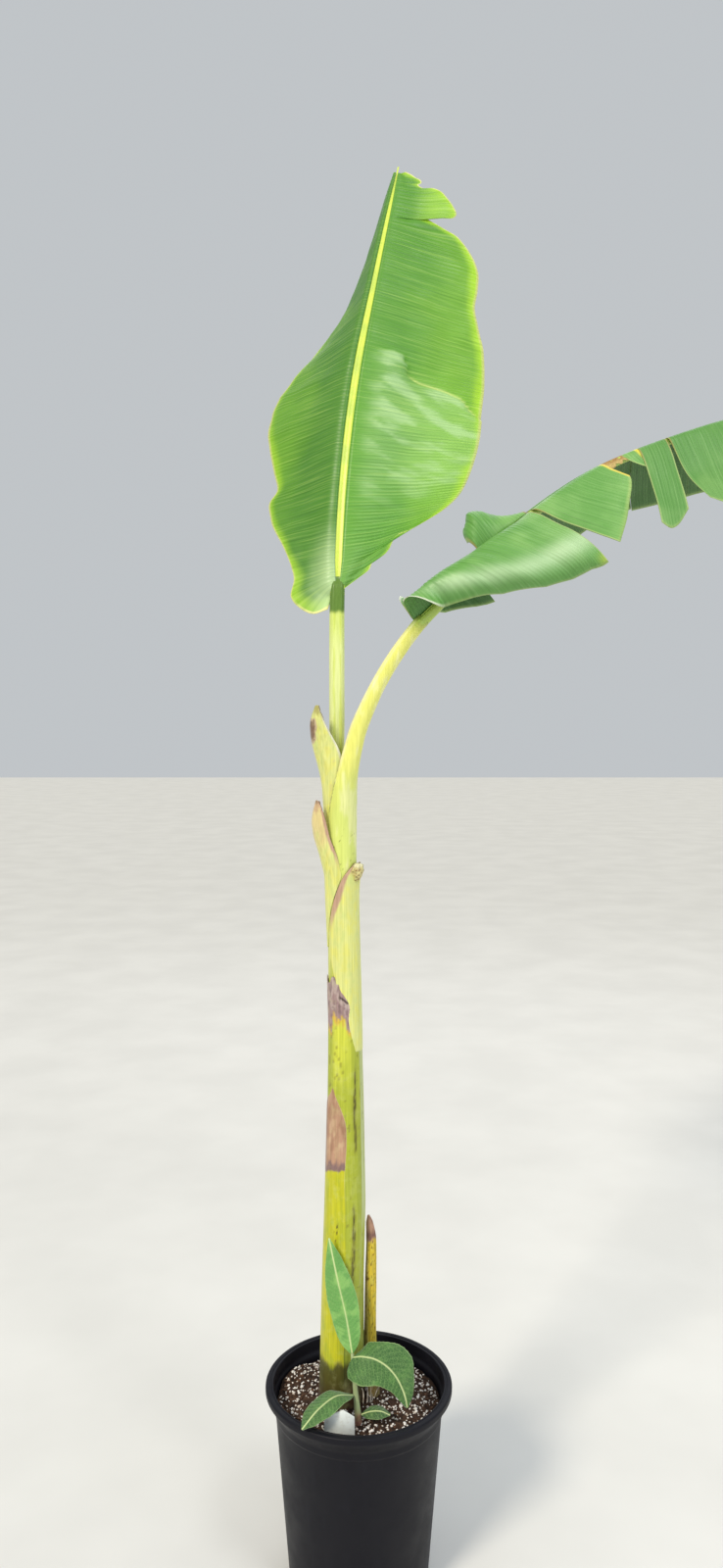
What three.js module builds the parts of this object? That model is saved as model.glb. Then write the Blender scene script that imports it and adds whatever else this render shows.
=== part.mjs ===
// Banana plant with two living leaves, standing in a round nursery pot. Millimetres, +Z up.
// The origin is the centre of the pot's flat underside. +X is to the plant's right, +Y to its back.
import * as THREE from "three";

// Nursery pot: radii of the foot, body and lip, and heights.
const POT_HEIGHT = 368;
const POT_FOOT_RADIUS = 131;
const POT_BODY_TOP_RADIUS = 157;
const POT_BODY_TOP = 333;
const POT_LIP_RADIUS = 174.5;
const POT_LIP_INNER_RADIUS = 160;
const POT_LIP_DEPTH = 11;
const POT_WALL = 3.5;
const POT_FLOOR = 5;
const POT_FOOT_ROUND = 3;
const POT_LIP_ROUND = 4;
const POT_SIDES = 40;

// Potting mix, level where the stem stands and a little lower at the wall.
const MIX_LEVEL = 338;
const MIX_EDGE_LEVEL = 329;
const MIX_FLAT_RADIUS = 138;

// The clearance that neighbouring pieces keep, and what curved ones need for it.
const GAP = 0.3;
const CURVED_GAP = 0.7;

// Corners round a limb, and steps along it, out to a blade's margin and between two listed veins.
const LIMB_SIDES = 10;
const STALK_STEPS = 10;
const MIDRIB_STEPS = 16;
const BLADE_STEPS = 6;
const VEIN_STEPS = 2;
const SMALL_LEAF_STEPS = 12;

// Pseudostem of rolled leaf sheaths: height, centre x, centre y and radius from the soil to the fork.
const STEM_LEVELS = [
  [338, -31, 0, 43],
  [420, -31, 0, 40],
  [570, -29, 0, 38],
  [710, -25, 0, 37.5],
  [910, -24, 0, 33],
  [1050, -25, 0, 30],
  [1190, -28, 0, 28],
  [1330, -32, 1, 27.5],
  [1430, -34, 2, 28],
  [1480, -34, 4, 30],
];
const STEM_SIDES = 20;

// Leaf 1, upright and leaning back: the line of its petiole and midrib, with the radius at each point.
const LEAF_1_LINE = [
  [-41, 20, 1480, 13],
  [-40, 20, 1600, 14],
  [-40, 20, 1720, 14],
  [-39, 28, 1838, 13.5],
  [-29, 80, 2050, 10.5],
  [-6, 145, 2260, 8.5],
  [30, 205, 2460, 6],
  [79, 275, 2712, 3.5],
];
const LEAF_1_BLADE_START = 358;
const LEAF_1_THICKNESS = 10;
// A piece of blade is a list of veins: where each leaves the midrib, where it ends along the midrib,
// and how far out, all from the blade's start. hang gives the angle below level, from the midrib to
// the margin, in even rows from the piece's base to its tip. Veins bend forwards as they run out.
const VEIN_BEND = 1.4;
const LEAF_1_RIGHT = {
  veins: [
    [4, 8, 6], [14, 45, 42], [28, 78, 64], [50, 118, 90], [80, 152, 140], [115, 184, 180], [170, 226, 213],
    [240, 284, 232], [325, 354, 243], [405, 422, 244], [490, 500, 243], [568, 575, 232], [620, 625, 213],
    [660, 664, 200], [700, 705, 199], [742, 752, 190], [776, 792, 162], [790, 811, 122], [799, 826, 68],
    [808, 842, 112], [828, 856, 121], [850, 880, 112], [872, 892, 90], [888, 902, 52], [902, 912, 12],
  ],
  hang: [[10, 11, 14]],
};
const LEAF_1_LEFT = {
  veins: [
    [4, -33, 6], [8, -40, 34], [14, -28, 60], [24, -4, 80], [42, 29, 75], [62, 55, 82], [112, 110, 112],
    [165, 163, 150], [210, 210, 169], [240, 236, 154], [283, 282, 171], [326, 325, 184], [378, 376, 198],
    [425, 424, 198], [470, 471, 190], [530, 531, 184], [594, 596, 184], [650, 652, 182], [700, 702, 174],
    [752, 755, 158], [805, 808, 128], [850, 853, 90], [880, 885, 48], [902, 910, 12],
  ],
  hang: [18, 28, 38, 41, 38, 41, 51, 64, 76, 80, 80].map((fold, row) => (
    [Math.min(fold, 80 - 6 * row), fold + 1, fold + 4]
  )),
};

// Leaf 2, arching to the right with both halves hanging: the line of its petiole and midrib.
const LEAF_2_LINE = [
  [-24, -8, 1480, 19],
  [-15, -7, 1540, 20],
  [-2, -5, 1590, 18],
  [32, 1, 1665, 15.5],
  [68, 8, 1725, 15],
  [104, 16, 1774, 14.5],
  [145, 30, 1817, 13],
  [205, 48, 1880, 12],
  [315, 82, 1983, 11],
  [434, 120, 2068, 10],
  [514, 144, 2109, 9.5],
  [599, 170, 2145, 9],
  [715, 202, 2187, 8],
  [800, 224, 2209, 7.5],
  [880, 243, 2214, 7],
  [955, 258, 2192, 6],
  [1020, 268, 2145, 5],
  [1066, 272, 2075, 4],
];
const LEAF_2_BLADE_START = 327;
const LEAF_2_CREST = 1188;
const LEAF_2_THICKNESS = 12;

// Torn pieces of leaf 2's blade, from its base to its tip. The half that is nearer the front rises
// into a hood at the base and rolls under at its margin.
const LEAF_2_NEAR = [
  {
    veins: [
      [4, -6, 90], [40, 66, 128], [95, 150, 180], [150, 206, 222], [220, 262, 238], [306, 306, 216],
    ],
    hang: [
      [-60, -45, 50, 80], [-56, 10, 45, 100], [-45, 30, 38, 110], [-15, 36, 42, 84], [10, 50, 54, 62],
    ],
  },
  {
    veins: [
      [318, 362, 182], [360, 392, 168], [400, 422, 144], [440, 452, 114], [472, 484, 82], [496, 506, 52],
    ],
    hang: [[30, 48, 50, 56], [30, 45, 47, 60]],
  },
  { veins: [[546, 550, 8], [554, 560, 24], [563, 568, 32]], hang: [[50, 60]] },
  { veins: [[582, 534, 162], [600, 540, 180], [620, 556, 180], [641, 592, 158]], hang: [[50, 60, 62, 64]] },
  {
    veins: [[650, 676, 186], [710, 728, 188], [790, 800, 182], [856, 864, 172]],
    hang: [[72, 64, 50, 42], [45, 57, 60, 66], [45, 57, 60, 66]],
  },
  {
    veins: [[864, 878, 168], [920, 930, 158], [980, 990, 138], [1010, 1022, 120]],
    hang: [[44, 56, 59, 65], [20, 54, 58, 64]],
  },
  {
    veins: [[1018, 1032, 116], [1060, 1068, 98], [1110, 1118, 72], [1150, 1158, 42], [1176, 1186, 12]],
    hang: [[20, 54, 58, 64], [10, 38, 42, 46]],
  },
];
const LEAF_2_FAR = [
  {
    veins: [[6, -4, 70], [50, 50, 86], [95, 100, 112], [140, 150, 160]],
    hang: [[-60, -45, 60, 85], [-52, 10, 73, 85], [-40, 40, 75, 85]],
  },
  {
    veins: [[150, 240, 170], [190, 270, 180], [240, 305, 186], [308, 345, 188]],
    hang: [[-60, -40, 20, 70, 80], [-45, -10, 45, 75, 80], [0, 30, 60, 75, 80], [20, 45, 60, 75, 80]],
  },
  { veins: [[320, 360, 170], [400, 430, 160], [480, 500, 152], [568, 590, 150]], hang: [[35, 40, 45, 55]] },
  { veins: [[576, 598, 152], [650, 668, 160], [720, 734, 165]], hang: [[36, 42, 46, 56]] },
  { veins: [[728, 736, 160], [800, 804, 162], [856, 862, 156]], hang: [[36, 44, 50, 58]] },
  {
    veins: [[864, 868, 152], [920, 926, 144], [980, 988, 128], [1010, 1020, 112]],
    hang: [[36, 48, 52, 58], [20, 48, 52, 58]],
  },
  {
    veins: [[1018, 1030, 108], [1060, 1068, 90], [1110, 1118, 64], [1150, 1158, 38], [1176, 1186, 12]],
    hang: [[20, 48, 52, 58], [10, 44, 48, 52]],
  },
];

// Cut sheaths that wrap the stem. Each row: height, lean out of the stem's line in x and y, the way
// the sheath faces in degrees from +X, and half the angle that it spans. wall is its foot's and tip's.
const CUT_SHEATHS = {
  cut_sheath_upper: {
    wall: [1.5, 4],
    rows: [
      [1400, 0, 0, 200, 16],
      [1440, 0, 0, 208, 40],
      [1480, 0, 0, 212, 66],
      [1505, -4, 0, 214, 70],
      [1533, -11, 0, 216, 68],
      [1565, -19, 0, 212, 52],
      [1600, -22, -2, 206, 32],
      [1629, -15, -6, 198, 8],
    ],
  },
  cut_sheath_left: {
    wall: [1.5, 4],
    rows: [
      [1190, 0, 0, 182, 12],
      [1238, 0, 0, 190, 24],
      [1268, 0, 0, 197, 32],
      [1322, 0, 0, 219, 50],
      [1357, -7, 0, 223, 46],
      [1392, -18, 0, 220, 38],
      [1425, -21, -4, 212, 26],
      [1458, -16, -6, 202, 8],
    ],
  },
  cut_sheath_right: {
    wall: [1.5, 4],
    rows: [
      [1000, 0, 0, -30, 24],
      [1100, 0, 0, -50, 60],
      [1190, 0, 0, -60, 88],
      [1238, 0, 0, -61, 80],
      [1268, 0, 0, -54, 72],
      [1322, 0, 0, -38, 44],
      [1338, 0, 0, -28, 20],
    ],
  },
};
const SHEATH_STEPS = 8;
const SHEATH_RISE = 20;

// Dried stub of an old leaf that stands on the soil at the stem's right.
const DRIED_STUB = [
  [27, 6, MIX_LEVEL + GAP, 13],
  [22, 6, 430, 12],
  [22, 6, 560, 11],
  [23, 8, 640, 9],
  [19, 8, 676, 4],
];

// Small side shoot at the stem's foot: its stalk, then each leaf's midrib, half widths and the
// direction across it.
const SHOOT_STALK = [
  [-1, -84, MIX_LEVEL + GAP, 7],
  [-4, -82, 380, 5],
  [-8, -74, 420, 4],
  [-12, -60, 452, 3],
];
const SHOOT_LEAF_THICKNESS = 3;
const SHOOT_LEAVES = {
  shoot_leaf_upright: {
    line: [[-12, -59, 453.2], [-20, -55, 520], [-35, -52, 590], [-54, -50, 664]],
    widths: [3, 17, 25, 28, 27, 22, 13, 3], across: [1, 0, 0], droop: 14,
  },
  shoot_leaf_broad: {
    line: [[-4.2, -78, 424], [20, -81, 442], [52, -85, 443], [73, -92, 417], [84, -98, 379]],
    widths: [3, 30, 39, 42, 38, 30, 19, 4], across: [-0.7, -0.5, -0.45], droop: 8,
  },
  shoot_leaf_left: {
    line: [[-10, -84, 390], [-40, -104, 401], [-70, -130, 394], [-98, -160, 377]],
    widths: [3, 15, 22, 23, 18, 11, 3], across: [-0.7, 0.7, 0.1], droop: 12,
  },
  shoot_leaf_low: {
    line: [[5, -86, 356], [22, -90, 364], [40, -93, 366], [56, -95, 360]],
    widths: [3, 9, 12, 11, 7, 3], across: [0, -1, 0], droop: 20,
  },
};

// Blank plant label pushed in at the front of the pot.
const LABEL_WIDTH = 54;
const LABEL_HEIGHT = 52;
const LABEL_SHOULDER = 39;
const LABEL_THICKNESS = 2;
const LABEL_PLACE = [-34, -124, MIX_LEVEL + GAP];

const plant = new THREE.Group();

// Colour and roughness of each finish.
const COLOURS = {
  pot: [0x24262c, 0.55],
  mix: [0x3a2a20, 1.0],
  stem: [0xc3cc55, 0.55],
  sheath: [0xb8ad55, 0.65],
  dried: [0xa8803a, 0.9],
  petiole: [0xe0e377, 0.5],
  midrib: [0xd9ea62, 0.5],
  leaf_1: [0x6faf45, 0.5],
  leaf_2: [0x6dae62, 0.45],
  shoot: [0x4f8a3c, 0.6],
  label: [0xe8ebe6, 0.5],
};

function addPiece(name, geometry, finish) {
  const [color, roughness] = COLOURS[finish];
  const material = new THREE.MeshStandardMaterial({ color, roughness, metalness: 0 });
  const mesh = new THREE.Mesh(geometry, material);
  mesh.name = name;
  plant.add(mesh);
}

// A closed body from corner points and triangles, with its faces turned outwards.
function closedBody(points, triangles) {
  let volume = 0;
  for (const [a, b, c] of triangles) {
    volume += points[a].dot(points[b].clone().cross(points[c]));
  }
  const order = volume > 0 ? triangles : triangles.map(([a, b, c]) => [a, c, b]);
  const geometry = new THREE.BufferGeometry();
  const corners = points.flatMap((point) => [point.x, point.y, point.z]);
  geometry.setAttribute("position", new THREE.Float32BufferAttribute(corners, 3));
  geometry.setIndex(order.flat());
  geometry.computeVertexNormals();
  return geometry;
}

// Rings of equal count are skinned one to the next. capOf lists the triangles that close one ring.
function skinRings(rings, capOf) {
  const count = rings[0].length;
  const points = rings.flat();
  const triangles = [];
  for (let ring = 0; ring + 1 < rings.length; ring += 1) {
    for (let side = 0; side < count; side += 1) {
      const a = ring * count + side;
      const b = ring * count + ((side + 1) % count);
      triangles.push([a, b, b + count], [a, b + count, a + count]);
    }
  }
  const last = (rings.length - 1) * count;
  for (const [a, b, c] of capOf(count)) {
    triangles.push([a, c, b], [last + a, last + b, last + c]);
  }
  return closedBody(points, triangles);
}

// A round ring is closed by a fan from its first corner.
function roundCap(count) {
  return Array.from({ length: count - 2 }, (_, index) => [0, index + 1, index + 2]);
}

// A ribbon's ring runs out along one face and back along the other, so it is closed by a strip.
function ribbonCap(count) {
  const triangles = [];
  for (let step = 0; step < count / 2 - 1; step += 1) {
    const back = count - 1 - step;
    triangles.push([step, step + 1, back], [step + 1, back - 1, back]);
  }
  return triangles;
}

function spline(rows) {
  const points = rows.map(([x, y, z]) => new THREE.Vector3(x, y, z));
  return new THREE.CatmullRomCurve3(points, false, "centripetal");
}

// The value at t, from 0 to 1, of a list that is spread evenly. A list of one holds all along.
function spread(list, t) {
  const place = Math.min(Math.max(t, 0), 1) * (list.length - 1);
  const index = Math.min(Math.floor(place), Math.max(list.length - 2, 0));
  return THREE.MathUtils.lerp(list[index], list[index + 1] ?? list[index], place - index);
}

// Side and upper directions across a line that runs along `ahead`, with its upper face towards `up`.
function crossFrame(ahead, up) {
  const side = ahead.clone().cross(up).normalize();
  return { side, upper: side.clone().cross(ahead).normalize() };
}

const UP = new THREE.Vector3(0, 0, 1);
const FRONT = new THREE.Vector3(0, -1, 0);

// A tapering round limb between two distances along a line of centre points and radii.
// One that stands on a level surface has a level foot.
function limb(rows, steps, { from = 0, to = Infinity, standing = false }) {
  const curve = spline(rows);
  const length = curve.getLength();
  const radii = rows.map((row) => row[3]);
  const rings = [];
  for (let step = 0; step <= steps; step += 1) {
    const distance = THREE.MathUtils.lerp(from, Math.min(to, length), step / steps);
    const t = curve.getUtoTmapping(distance / length);
    const centre = curve.getPoint(t);
    const ahead = standing && step === 0 ? UP.clone() : curve.getTangent(t);
    const { side, upper } = crossFrame(ahead, FRONT);
    const radius = spread(radii, t);
    const ring = [];
    for (let corner = 0; corner < LIMB_SIDES; corner += 1) {
      const angle = (2 * Math.PI * corner) / LIMB_SIDES;
      const offset = side.clone().multiplyScalar(Math.cos(angle) * radius);
      offset.addScaledVector(upper, Math.sin(angle) * radius);
      ring.push(centre.clone().add(offset));
    }
    rings.push(ring);
  }
  return skinRings(rings, roundCap);
}

// The hang, in radians, at a share of the way along a piece of blade and of the way out to its margin.
function hangAt(hang, along, out) {
  return THREE.MathUtils.degToRad(spread(hang.map((row) => spread(row, out)), along));
}

// A piece of one half of a blade, bent to its hang. half is 1 to the midrib's right and -1 to its left.
function bladePiece({ rows, start, thickness, up }, half, { veins, hang }) {
  const curve = spline(rows);
  const length = curve.getLength();
  const radii = rows.map((row) => row[3]);
  const ends = spline(veins);
  const count = VEIN_STEPS * (veins.length - 1);
  const [first, last] = [veins[0][0], veins[veins.length - 1][0]];
  const rings = [];
  for (let vein = 0; vein <= count; vein += 1) {
    const { x: root, y: along, z: out } = ends.getPoint(vein / count);
    const place = curve.getUtoTmapping((start + root) / length);
    const ahead = curve.getTangent(place);
    const { side, upper } = crossFrame(ahead, up);
    const share = (root - first) / (last - first);
    side.multiplyScalar(half);
    const turned = (angle) => {
      return side.clone().multiplyScalar(Math.cos(angle)).addScaledVector(upper, Math.sin(angle));
    };
    const toward = (hung) => turned(-hung);
    const above = (hung) => turned(Math.PI / 2 - hung);
    const forward = (step) => (along - root) * (step / BLADE_STEPS) ** VEIN_BEND;
    const point = curve.getPoint(place);
    point.addScaledVector(toward(hangAt(hang, share, 0)), spread(radii, place) + CURVED_GAP);
    const lower = [];
    const top = [];
    for (let step = 0; step <= BLADE_STEPS; step += 1) {
      const normal = above(hangAt(hang, share, step / BLADE_STEPS));
      lower.push(point.clone().addScaledVector(normal, -thickness / 2));
      top.push(point.clone().addScaledVector(normal, thickness / 2));
      point.addScaledVector(toward(hangAt(hang, share, (step + 0.5) / BLADE_STEPS)), out / BLADE_STEPS);
      point.addScaledVector(ahead, forward(step + 1) - forward(step));
    }
    rings.push([...top, ...lower.reverse()]);
  }
  return skinRings(rings, ribbonCap);
}

// A whole small leaf: a bent ribbon that narrows to its stalk and its tip.
function smallLeaf({ line, widths, across, droop }) {
  const curve = spline(line);
  const fold = THREE.MathUtils.degToRad(droop);
  const rings = [];
  for (let step = 0; step <= SMALL_LEAF_STEPS; step += 1) {
    const t = step / SMALL_LEAF_STEPS;
    const centre = curve.getPoint(t);
    const ahead = curve.getTangent(t);
    const side = new THREE.Vector3(...across).projectOnPlane(ahead).normalize();
    const upper = side.clone().cross(ahead);
    const width = spread(widths, t);
    const top = [];
    const lower = [];
    for (const share of [-1, -0.5, 0, 0.5, 1]) {
      const point = centre.clone().addScaledVector(side, share * width * Math.cos(fold));
      point.addScaledVector(upper, -Math.abs(share) * width * Math.sin(fold));
      lower.push(point);
      top.push(point.clone().addScaledVector(upper, SHOOT_LEAF_THICKNESS));
    }
    rings.push([...top, ...lower.reverse()]);
  }
  return skinRings(rings, ribbonCap);
}

// One row of a table of rows, at the height given, in a straight line between its neighbours.
function rowAt(rows, height) {
  const place = rows.findIndex((row) => row[0] >= height);
  if (place < 1) {
    return place === 0 ? rows[0] : rows[rows.length - 1];
  }
  const [before, after] = [rows[place - 1], rows[place]];
  const share = (height - before[0]) / (after[0] - before[0]);
  return before.map((value, index) => THREE.MathUtils.lerp(value, after[index], share));
}

// A cut sheath: a curved wall that wraps part of the stem, from its foot to its pointed tip.
function sheath({ wall, rows }) {
  const [foot, tip] = [rows[0][0], rows[rows.length - 1][0]];
  const levels = [...rows, ...STEM_LEVELS].map((row) => row[0]);
  for (let height = foot; height < tip; height += SHEATH_RISE) {
    levels.push(height);
  }
  const heights = [...new Set(levels)].filter((height) => height >= foot && height <= tip);
  const rings = heights.sort((one, other) => one - other).map((height) => {
    const [, leanX, leanY, facing, span] = rowAt(rows, height);
    const [, stemX, stemY, stemRadius] = rowAt(STEM_LEVELS, height);
    const centre = new THREE.Vector3(stemX + leanX, stemY + leanY, height);
    const halfStep = THREE.MathUtils.degToRad(span / SHEATH_STEPS);
    const radius = (stemRadius + CURVED_GAP) / Math.cos(halfStep);
    const thickness = THREE.MathUtils.lerp(wall[0], wall[1], (height - foot) / (tip - foot));
    const outer = [];
    const inner = [];
    for (let step = 0; step <= SHEATH_STEPS; step += 1) {
      const angle = THREE.MathUtils.degToRad(facing - span) + 2 * halfStep * step;
      const edge = new THREE.Vector3(Math.cos(angle), Math.sin(angle), 0);
      inner.push(centre.clone().addScaledVector(edge, radius));
      outer.push(centre.clone().addScaledVector(edge, radius + thickness));
    }
    return [...outer, ...inner.reverse()];
  });
  return skinRings(rings, ribbonCap);
}

function lathe(profile) {
  const points = profile.map(([radius, height]) => new THREE.Vector2(radius, height));
  const geometry = new THREE.LatheGeometry(points, POT_SIDES);
  geometry.rotateX(Math.PI / 2);
  return geometry;
}

function addPot() {
  const innerTop = POT_BODY_TOP_RADIUS - POT_WALL;
  const innerFoot = POT_FOOT_RADIUS - POT_WALL;
  addPiece("pot", lathe([
    [0, 0],
    [POT_FOOT_RADIUS - POT_FOOT_ROUND, 0],
    [POT_FOOT_RADIUS, POT_FOOT_ROUND],
    [POT_BODY_TOP_RADIUS, POT_BODY_TOP],
    [POT_LIP_RADIUS, POT_HEIGHT - POT_LIP_DEPTH],
    [POT_LIP_RADIUS, POT_HEIGHT - POT_LIP_ROUND],
    [POT_LIP_RADIUS - POT_LIP_ROUND, POT_HEIGHT],
    [POT_LIP_INNER_RADIUS + POT_LIP_ROUND, POT_HEIGHT],
    [POT_LIP_INNER_RADIUS, POT_HEIGHT - POT_LIP_ROUND],
    [innerTop, POT_BODY_TOP],
    [innerFoot, POT_FLOOR],
    [0, POT_FLOOR],
  ]), "pot");
  const wallAt = (height) => {
    const share = (height - POT_FLOOR) / (POT_BODY_TOP - POT_FLOOR);
    return THREE.MathUtils.lerp(innerFoot, innerTop, share) - GAP;
  };
  addPiece("potting_mix", lathe([
    [0, POT_FLOOR + GAP],
    [wallAt(POT_FLOOR + GAP), POT_FLOOR + GAP],
    [wallAt(MIX_EDGE_LEVEL), MIX_EDGE_LEVEL],
    [MIX_FLAT_RADIUS, MIX_LEVEL],
    [0, MIX_LEVEL],
  ]), "mix");
}

function addStem() {
  const rings = [];
  const levels = STEM_LEVELS.map(([height, x, y, radius]) => new THREE.Vector4(height, x, y, radius));
  levels[0].x += GAP;
  for (const { x: height, y: centreX, z: centreY, w: radius } of levels) {
    const ring = [];
    for (let side = 0; side < STEM_SIDES; side += 1) {
      const angle = (2 * Math.PI * side) / STEM_SIDES;
      const corner = new THREE.Vector3(Math.cos(angle), Math.sin(angle), 0).multiplyScalar(radius);
      ring.push(corner.add(new THREE.Vector3(centreX, centreY, height)));
    }
    rings.push(ring);
  }
  addPiece("pseudostem", skinRings(rings, roundCap), "stem");
  for (const [name, shape] of Object.entries(CUT_SHEATHS)) {
    addPiece(name, sheath(shape), "sheath");
  }
  addPiece("dried_stub", limb(DRIED_STUB, STALK_STEPS, { standing: true }), "dried");
}

function addLeafOne() {
  const leaf = { rows: LEAF_1_LINE, start: LEAF_1_BLADE_START, thickness: LEAF_1_THICKNESS, up: FRONT };
  const stalk = { from: GAP, to: LEAF_1_BLADE_START, standing: true };
  addPiece("petiole_1", limb(LEAF_1_LINE, STALK_STEPS, stalk), "petiole");
  addPiece("leaf_1_midrib", limb(LEAF_1_LINE, MIDRIB_STEPS, { from: LEAF_1_BLADE_START + GAP }), "midrib");
  addPiece("leaf_1_right", bladePiece(leaf, 1, LEAF_1_RIGHT), "leaf_1");
  addPiece("leaf_1_left", bladePiece(leaf, -1, LEAF_1_LEFT), "leaf_1");
}

function addLeafTwo() {
  const leaf = { rows: LEAF_2_LINE, start: LEAF_2_BLADE_START, thickness: LEAF_2_THICKNESS, up: UP };
  const stalk = { from: GAP, to: LEAF_2_BLADE_START, standing: true };
  const rise = { from: LEAF_2_BLADE_START + GAP, to: LEAF_2_CREST };
  addPiece("petiole_2", limb(LEAF_2_LINE, STALK_STEPS, stalk), "petiole");
  addPiece("leaf_2_midrib", limb(LEAF_2_LINE, MIDRIB_STEPS, rise), "midrib");
  addPiece("leaf_2_midrib_end", limb(LEAF_2_LINE, STALK_STEPS, { from: LEAF_2_CREST + GAP }), "midrib");
  LEAF_2_NEAR.forEach((piece, index) => {
    addPiece(`leaf_2_near_${index + 1}`, bladePiece(leaf, 1, piece), "leaf_2");
  });
  LEAF_2_FAR.forEach((piece, index) => {
    addPiece(`leaf_2_far_${index + 1}`, bladePiece(leaf, -1, piece), "leaf_2");
  });
}

function addShoot() {
  addPiece("shoot_stalk", limb(SHOOT_STALK, STALK_STEPS, { standing: true }), "shoot");
  for (const [name, shape] of Object.entries(SHOOT_LEAVES)) {
    addPiece(name, smallLeaf(shape), "shoot");
  }
}

function addLabel() {
  const shape = new THREE.Shape();
  shape.moveTo(-LABEL_WIDTH / 2, 0);
  shape.lineTo(LABEL_WIDTH / 2, 0);
  shape.lineTo(LABEL_WIDTH / 2, LABEL_SHOULDER);
  shape.lineTo(LABEL_WIDTH / 8, LABEL_HEIGHT);
  shape.lineTo(-LABEL_WIDTH / 2, LABEL_SHOULDER);
  shape.closePath();
  const geometry = new THREE.ExtrudeGeometry(shape, { depth: LABEL_THICKNESS, bevelEnabled: false });
  geometry.rotateX(Math.PI / 2);
  geometry.translate(...LABEL_PLACE);
  addPiece("plant_label", geometry, "label");
}

addPot();
addStem();
addLeafOne();
addLeafTwo();
addShoot();
addLabel();

export default plant;
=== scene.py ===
# A banana plant in its nursery pot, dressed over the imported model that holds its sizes.
# Sizes below are millimetres: X to the plant's right, Y to its back, Z up from the pot's underside.
import math
import random

import bmesh
import bpy
import numpy as np
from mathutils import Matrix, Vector, noise


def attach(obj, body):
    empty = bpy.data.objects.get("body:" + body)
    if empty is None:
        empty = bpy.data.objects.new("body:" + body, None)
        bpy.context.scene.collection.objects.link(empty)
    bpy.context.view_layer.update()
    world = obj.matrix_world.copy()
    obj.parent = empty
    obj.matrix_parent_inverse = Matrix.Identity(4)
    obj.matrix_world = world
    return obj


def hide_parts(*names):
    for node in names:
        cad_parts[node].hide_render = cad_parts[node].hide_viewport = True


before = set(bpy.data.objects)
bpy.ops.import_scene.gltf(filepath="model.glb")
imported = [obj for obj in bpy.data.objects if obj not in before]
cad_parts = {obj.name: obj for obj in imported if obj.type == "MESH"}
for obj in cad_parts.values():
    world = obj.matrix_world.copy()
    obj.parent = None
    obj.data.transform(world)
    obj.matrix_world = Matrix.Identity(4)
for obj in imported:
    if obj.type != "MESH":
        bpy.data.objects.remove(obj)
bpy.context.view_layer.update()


# Camera: held at eye height about two metres in front of the pot, dipped a little towards it, with
# the wide view of a small lens.
EYE = (5, -2010, 1600)
EYE_DIP = 3.2
LENS, SENSOR = 25.4, 36

camera = bpy.data.objects.new("camera", bpy.data.cameras.new("camera"))
camera.data.lens, camera.data.sensor_width = LENS, SENSOR
camera.location = Vector(EYE) / 1000
camera.rotation_euler = (math.radians(90 - EYE_DIP), 0, 0)
bpy.context.scene.collection.objects.link(camera)
bpy.context.scene.camera = camera


# Nursery pot: one moulding of recycled polypropylene, dull on its wall, with a wide rounded lip that
# hands have polished, a stacking ledge inside, and a foot that is recessed under its rim.
POT_SIDES = 160
# Its section: radius, height and the rounding of each corner.
POT_OUTLINE = [
    (112, 3, 2), (116, 0, 1), (128, 0, 2), (131, 4, 2), (155.6, 316, 2), (157.4, 319, 2), (158, 333, 5),
    (171, 351, 5), (174.5, 356, 2), (174.5, 367.6, 5), (166.5, 367.6, 2), (166, 366.4, 1), (163.4, 366.4, 1),
    (162.8, 367.6, 1.2), (160, 367.6, 3), (158.6, 346, 3), (154.6, 340, 3), (153.6, 330, 2), (127.6, 6, 2),
]


def linear(code):
    """An sRGB colour such as "#24262c" as linear red, green, blue and alpha."""
    parts = [int(code[place:place + 2], 16) / 255 for place in (1, 3, 5)]
    return [part / 12.92 if part < 0.0405 else ((part + 0.055) / 1.055) ** 2.4 for part in parts] + [1.0]


def wire(node, inputs):
    """Sets a node's inputs, each to a value or to the output of a node that feeds it."""
    for socket, value in inputs.items():
        if isinstance(value, bpy.types.NodeSocket):
            node.id_data.links.new(value, node.inputs[socket])
        else:
            node.inputs[socket].default_value = value


def new_finish(name, values):
    """A material with plain values on its shader. Returns the material and the shader."""
    material = bpy.data.materials.new(name)
    material.use_nodes = True
    shader = material.node_tree.nodes["Principled BSDF"]
    wire(shader, values)
    return material, shader


def add_node(material, kind, inputs, output=0, **settings):
    """Adds a node with its settings and inputs, and returns one of its outputs."""
    made = material.node_tree.nodes.new("ShaderNode" + kind)
    for name, value in settings.items():
        setattr(made, name, value)
    wire(made, inputs)
    return made.outputs[output]


def skin(rings, ribbon):
    """Faces over a stack of rings of equal count. A ribbon's ends are closed by strips of quads."""
    stack, count = rings.shape[:2]
    faces = []
    for ring in range(stack - 1):
        for side in range(count):
            here, beside = ring * count + side, ring * count + (side + 1) % count
            faces.append((here, beside, beside + count, here + count))
    for first in (0, (stack - 1) * count):
        if ribbon:
            for step in range(count // 2 - 1):
                back = first + count - 1 - step
                faces.append((first + step, first + step + 1, back - 1, back))
        else:
            faces.append(tuple(range(first, first + count)))
    return faces


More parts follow.
